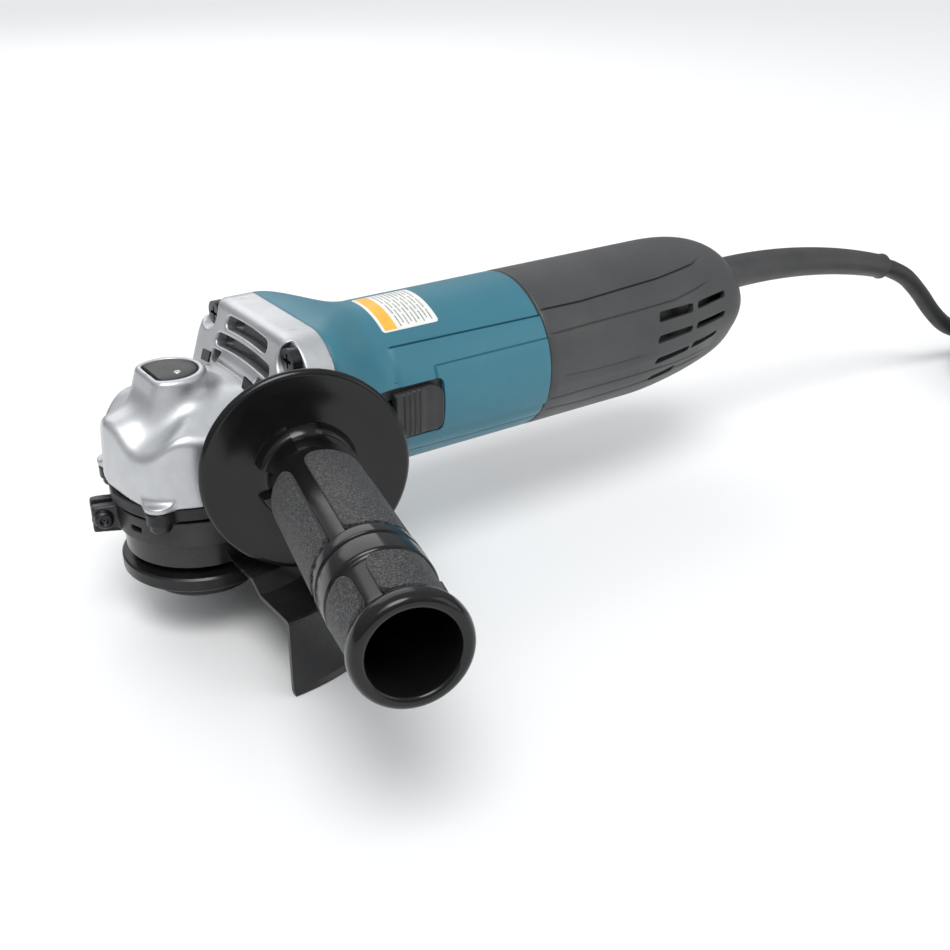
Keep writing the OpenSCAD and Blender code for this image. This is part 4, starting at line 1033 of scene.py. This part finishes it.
def slide_knob():
    def side(x, z, h):
        return motor(np.stack([x, -h, z], -1))

    def rise(x, z):
        h = 29.9 + 0.5 * smoothstep(68, 60, x) - 0.35 * bell(x - 71.0, 1.3)
        for rib in (62.0, 64.1, 66.2, 68.3):
            h = h + 0.45 * bell(x - rib, 0.42)
        return h + 0.45 * smoothstep(74.6, 77.4, x) - 0.004 * (z - 0.2) ** 2

    xs = spaced((58.6, 59.6, 0.3), (59.6, 70, 0.16), (70, 76, 0.4), (76, 77.5, 0.2))
    top = lambda x: np.interp(x, [58.6, 66.5, 73.4, 74.8, 76.0, 76.8, 77.3, 77.5],
                              [7.0, 7.2, 7.4, 7.0, 6.2, 4.9, 3.4, 2.4])
    low = lambda x: np.interp(x, [58.6, 75.2, 76.4, 77.1, 77.5], [-8.8, -8.8, -7.9, -6.4, -5.0])
    scan_patch("slide_knob", xs, low, top, rise, side, "switch_slide", M["knob"],
               ["switch_knob"], bevel=0.7, depth=2.3, inner=14, angle=40)
    scan_patch("knob_stem", spaced((62, 70, 1)), lambda x: -2.0 + 0 * x, lambda x: 4.0 + 0 * x,
               lambda x, z: 28.2 + 0 * x, side, "switch_slide", M["knob"],
               bevel=0.2, depth=2.9, inner=2)
    # the floor of the recess that the knob slides over, with the stem's slot
    outline = np.array([(51.2, -10.3), (79.7, -10.3), (79.7, 10.2), (51.2, 10.2)])
    slot_hole = np.array([(55.5, -2.6), (75, -2.6), (75, 4.6), (55.5, 4.6)])
    v = [(x, -y, z) for y in (27.0, 26.0) for x, z in np.concatenate([outline, slot_hole])]
    f = []
    for b, flip in ((0, False), (8, True)):
        for i in range(4):
            j = (i + 1) % 4
            q = (b + i, b + j, b + 4 + j, b + 4 + i)
            f.append(q[::-1] if flip else q)
    for i in range(4):
        j = (i + 1) % 4
        f += [(i, 8 + i, 8 + j, j), (4 + j, 12 + j, 12 + i, 4 + i)]
    add("knob_bed", motor(v), f, "housing", M["black"])


# ---------- label, cap, cord guard ----------


def barrel_patch(name, x0, x1, d0, d1, height, mat, replaces=(), corner=1.2, thick=0.22):
    """A thin patch laid round the barrel, from degrees d0 to d1."""
    xs = spaced((x0, x0 + corner, corner / 5), (x0 + corner, x1 - corner, 1.2), (x1 - corner, x1, corner / 5))

    def cut(x):
        near = np.minimum(np.minimum(x - x0, x1 - x), corner)
        return corner - np.sqrt(np.maximum(corner ** 2 - (corner - near) ** 2, 0))

    def place(x, w, h):
        a = w / BARREL
        r = blue_radius(x, np.abs(np.degrees(a))) + h
        return motor(np.stack([x, -r * np.sin(a), r * np.cos(a)], -1))

    return scan_patch(name, xs, lambda x: d0 * DEGREE + cut(x), lambda x: d1 * DEGREE - cut(x),
                      lambda x, w: height + 0 * x, place, "housing", mat, replaces,
                      bevel=0.12, depth=thick, inner=18, angle=60)


def label():
    barrel_patch("rating_label", 62.8, 84.4, -9, 35.5, 0.16, M["label"], ["name_plate"])
    barrel_patch("label_band", 63.8, 68.6, -8, 34.2, 0.2, M["label_amber"], corner=0.4, thick=0.1)
    for row in range(1, 10):
        x = 68.5 + 1.5 * row
        even, odd = [(-7.5, 3.0), (4.5, 15.5), (17.0, 31.0)], [(-7.5, 8.5), (10.0, 21.5), (23.0, 33.0)]
        stops = odd if row % 2 else even
        for k, (a, b) in enumerate(stops):
            barrel_patch(f"label_bar_{row}_{k + 1}", x, x + 0.6, a, b, 0.18, M["label_ink"],
                         corner=0.1, thick=0.08)


def cord_boot():
    t = np.linspace(0, 1, 61)
    line = bezier(guard_root, guard_root + [40, 0, 2.4], guard_tip - [34, 0, -10], guard_tip, t)
    r = 7.0 - 1.9 * t
    r = r + 0.55 * bell(t - 0.985, 0.012) + 0.25 * bell(t - 0.02, 0.02)
    r[-1] -= 0.4
    v, f = sweep(line, r, 40)
    add("cord_boot", v, f, "housing", M["boot"], ["cord_guard"], angle=50)


def lock_cap():
    v, f = [], []
    n = 48
    prof = [(8.8, 17.4), (8.8, 20.0), (8.6, 20.35), (8.1, 20.6), (6.0, 20.85), (3.0, 20.95), (0.02, 20.98)]
    for r, z in prof:
        for i in range(n):
            a = 2 * math.pi * i / n
            x = max(-4.3 + r * math.cos(a), -9.9 + (8.8 - r) * 0.35 if r > 7.5 else -9.9 + (8.8 - r) * 0.9)
            v.append((x, r * math.sin(a), z))
    f = [tuple(q) for q in grid_faces(len(prof), n, close_v=True, flip=True)]
    f.append(tuple(range(n)))
    add("lock_cap", motor(v), [q[::-1] for q in f], "shaft_lock", M["black"],
        ["lock_button"], angle=40)
    ring = rounded_profile([(0.35, 0.2, 0), (0.45, 0.32, 0.1), (0.95, 0.34, 0.12), (1.15, 0.1, 0)])
    place = turned(np.array([-3.2, -4.6, 20.75 + AXIS_H]), (1, 0, 0), (0, 1, 0), (0, 0, 1))
    lathe("cap_rivet", ring, 24, place, "shaft_lock", M["steel"])


net_piece("cast_gear_housing", cast_field, (-31, -35.6, -33.6), (37, 35.6, 34), 0.55, "housing", M["cast"],
          ["gear_housing"])
net_piece("bearing_plate", box_field, (-30, -30, -35), (30, 30, -13.8), 0.5, "housing", M["black_steel"],
          ["bearing_box"])
net_piece("guard_clamp", band_field, (-36, -28, -33.6), (28, 28, -20), 0.4, "guard", M["band"],
          ["guard_band"])
# black panels in the neck's slots and ledge pockets: painted shade inside them
slot_shade_panels()
motor_shell()
rear_shell()
vent_liner()
side_handle()
slide_knob()
label()
cord_boot()
lock_cap()
clamp_screw()
box_screws()


# the CAD nodes that show as they are, by their material
LOOKS = {
    "screw": "gear_housing_screws rear_cover_screws",
    "brass": "upper_bearing brush_holders plug_pins",
    "steel": "lower_bearing bearing_retainer spindle gear_clip lock_pin lock_spring motor_shaft pinion_nut "
        "front_bearing rear_bearing stator_screws brush_springs switch_spring handle_stud "
        "cord_clamp_screws",
    "black": "dust_seal fan bearing_sleeve air_baffle switch_lever switch_body cord_clamp coil_tie",
    "gear": "bevel_gear pinion",
    "black_steel": "inner_flange lock_nut",
    "guard": "wheel_guard",
    "core": "armature_core stator_core",
    "copper": "armature_windings commutator field_coils",
    "carbon": "carbon_brushes",
    "film": "suppressor",
    "cord": "plug_body",
}
for look, names in LOOKS.items():
    for name in names.split():
        nodes[name].data.materials.clear()
        nodes[name].data.materials.append(M[look])
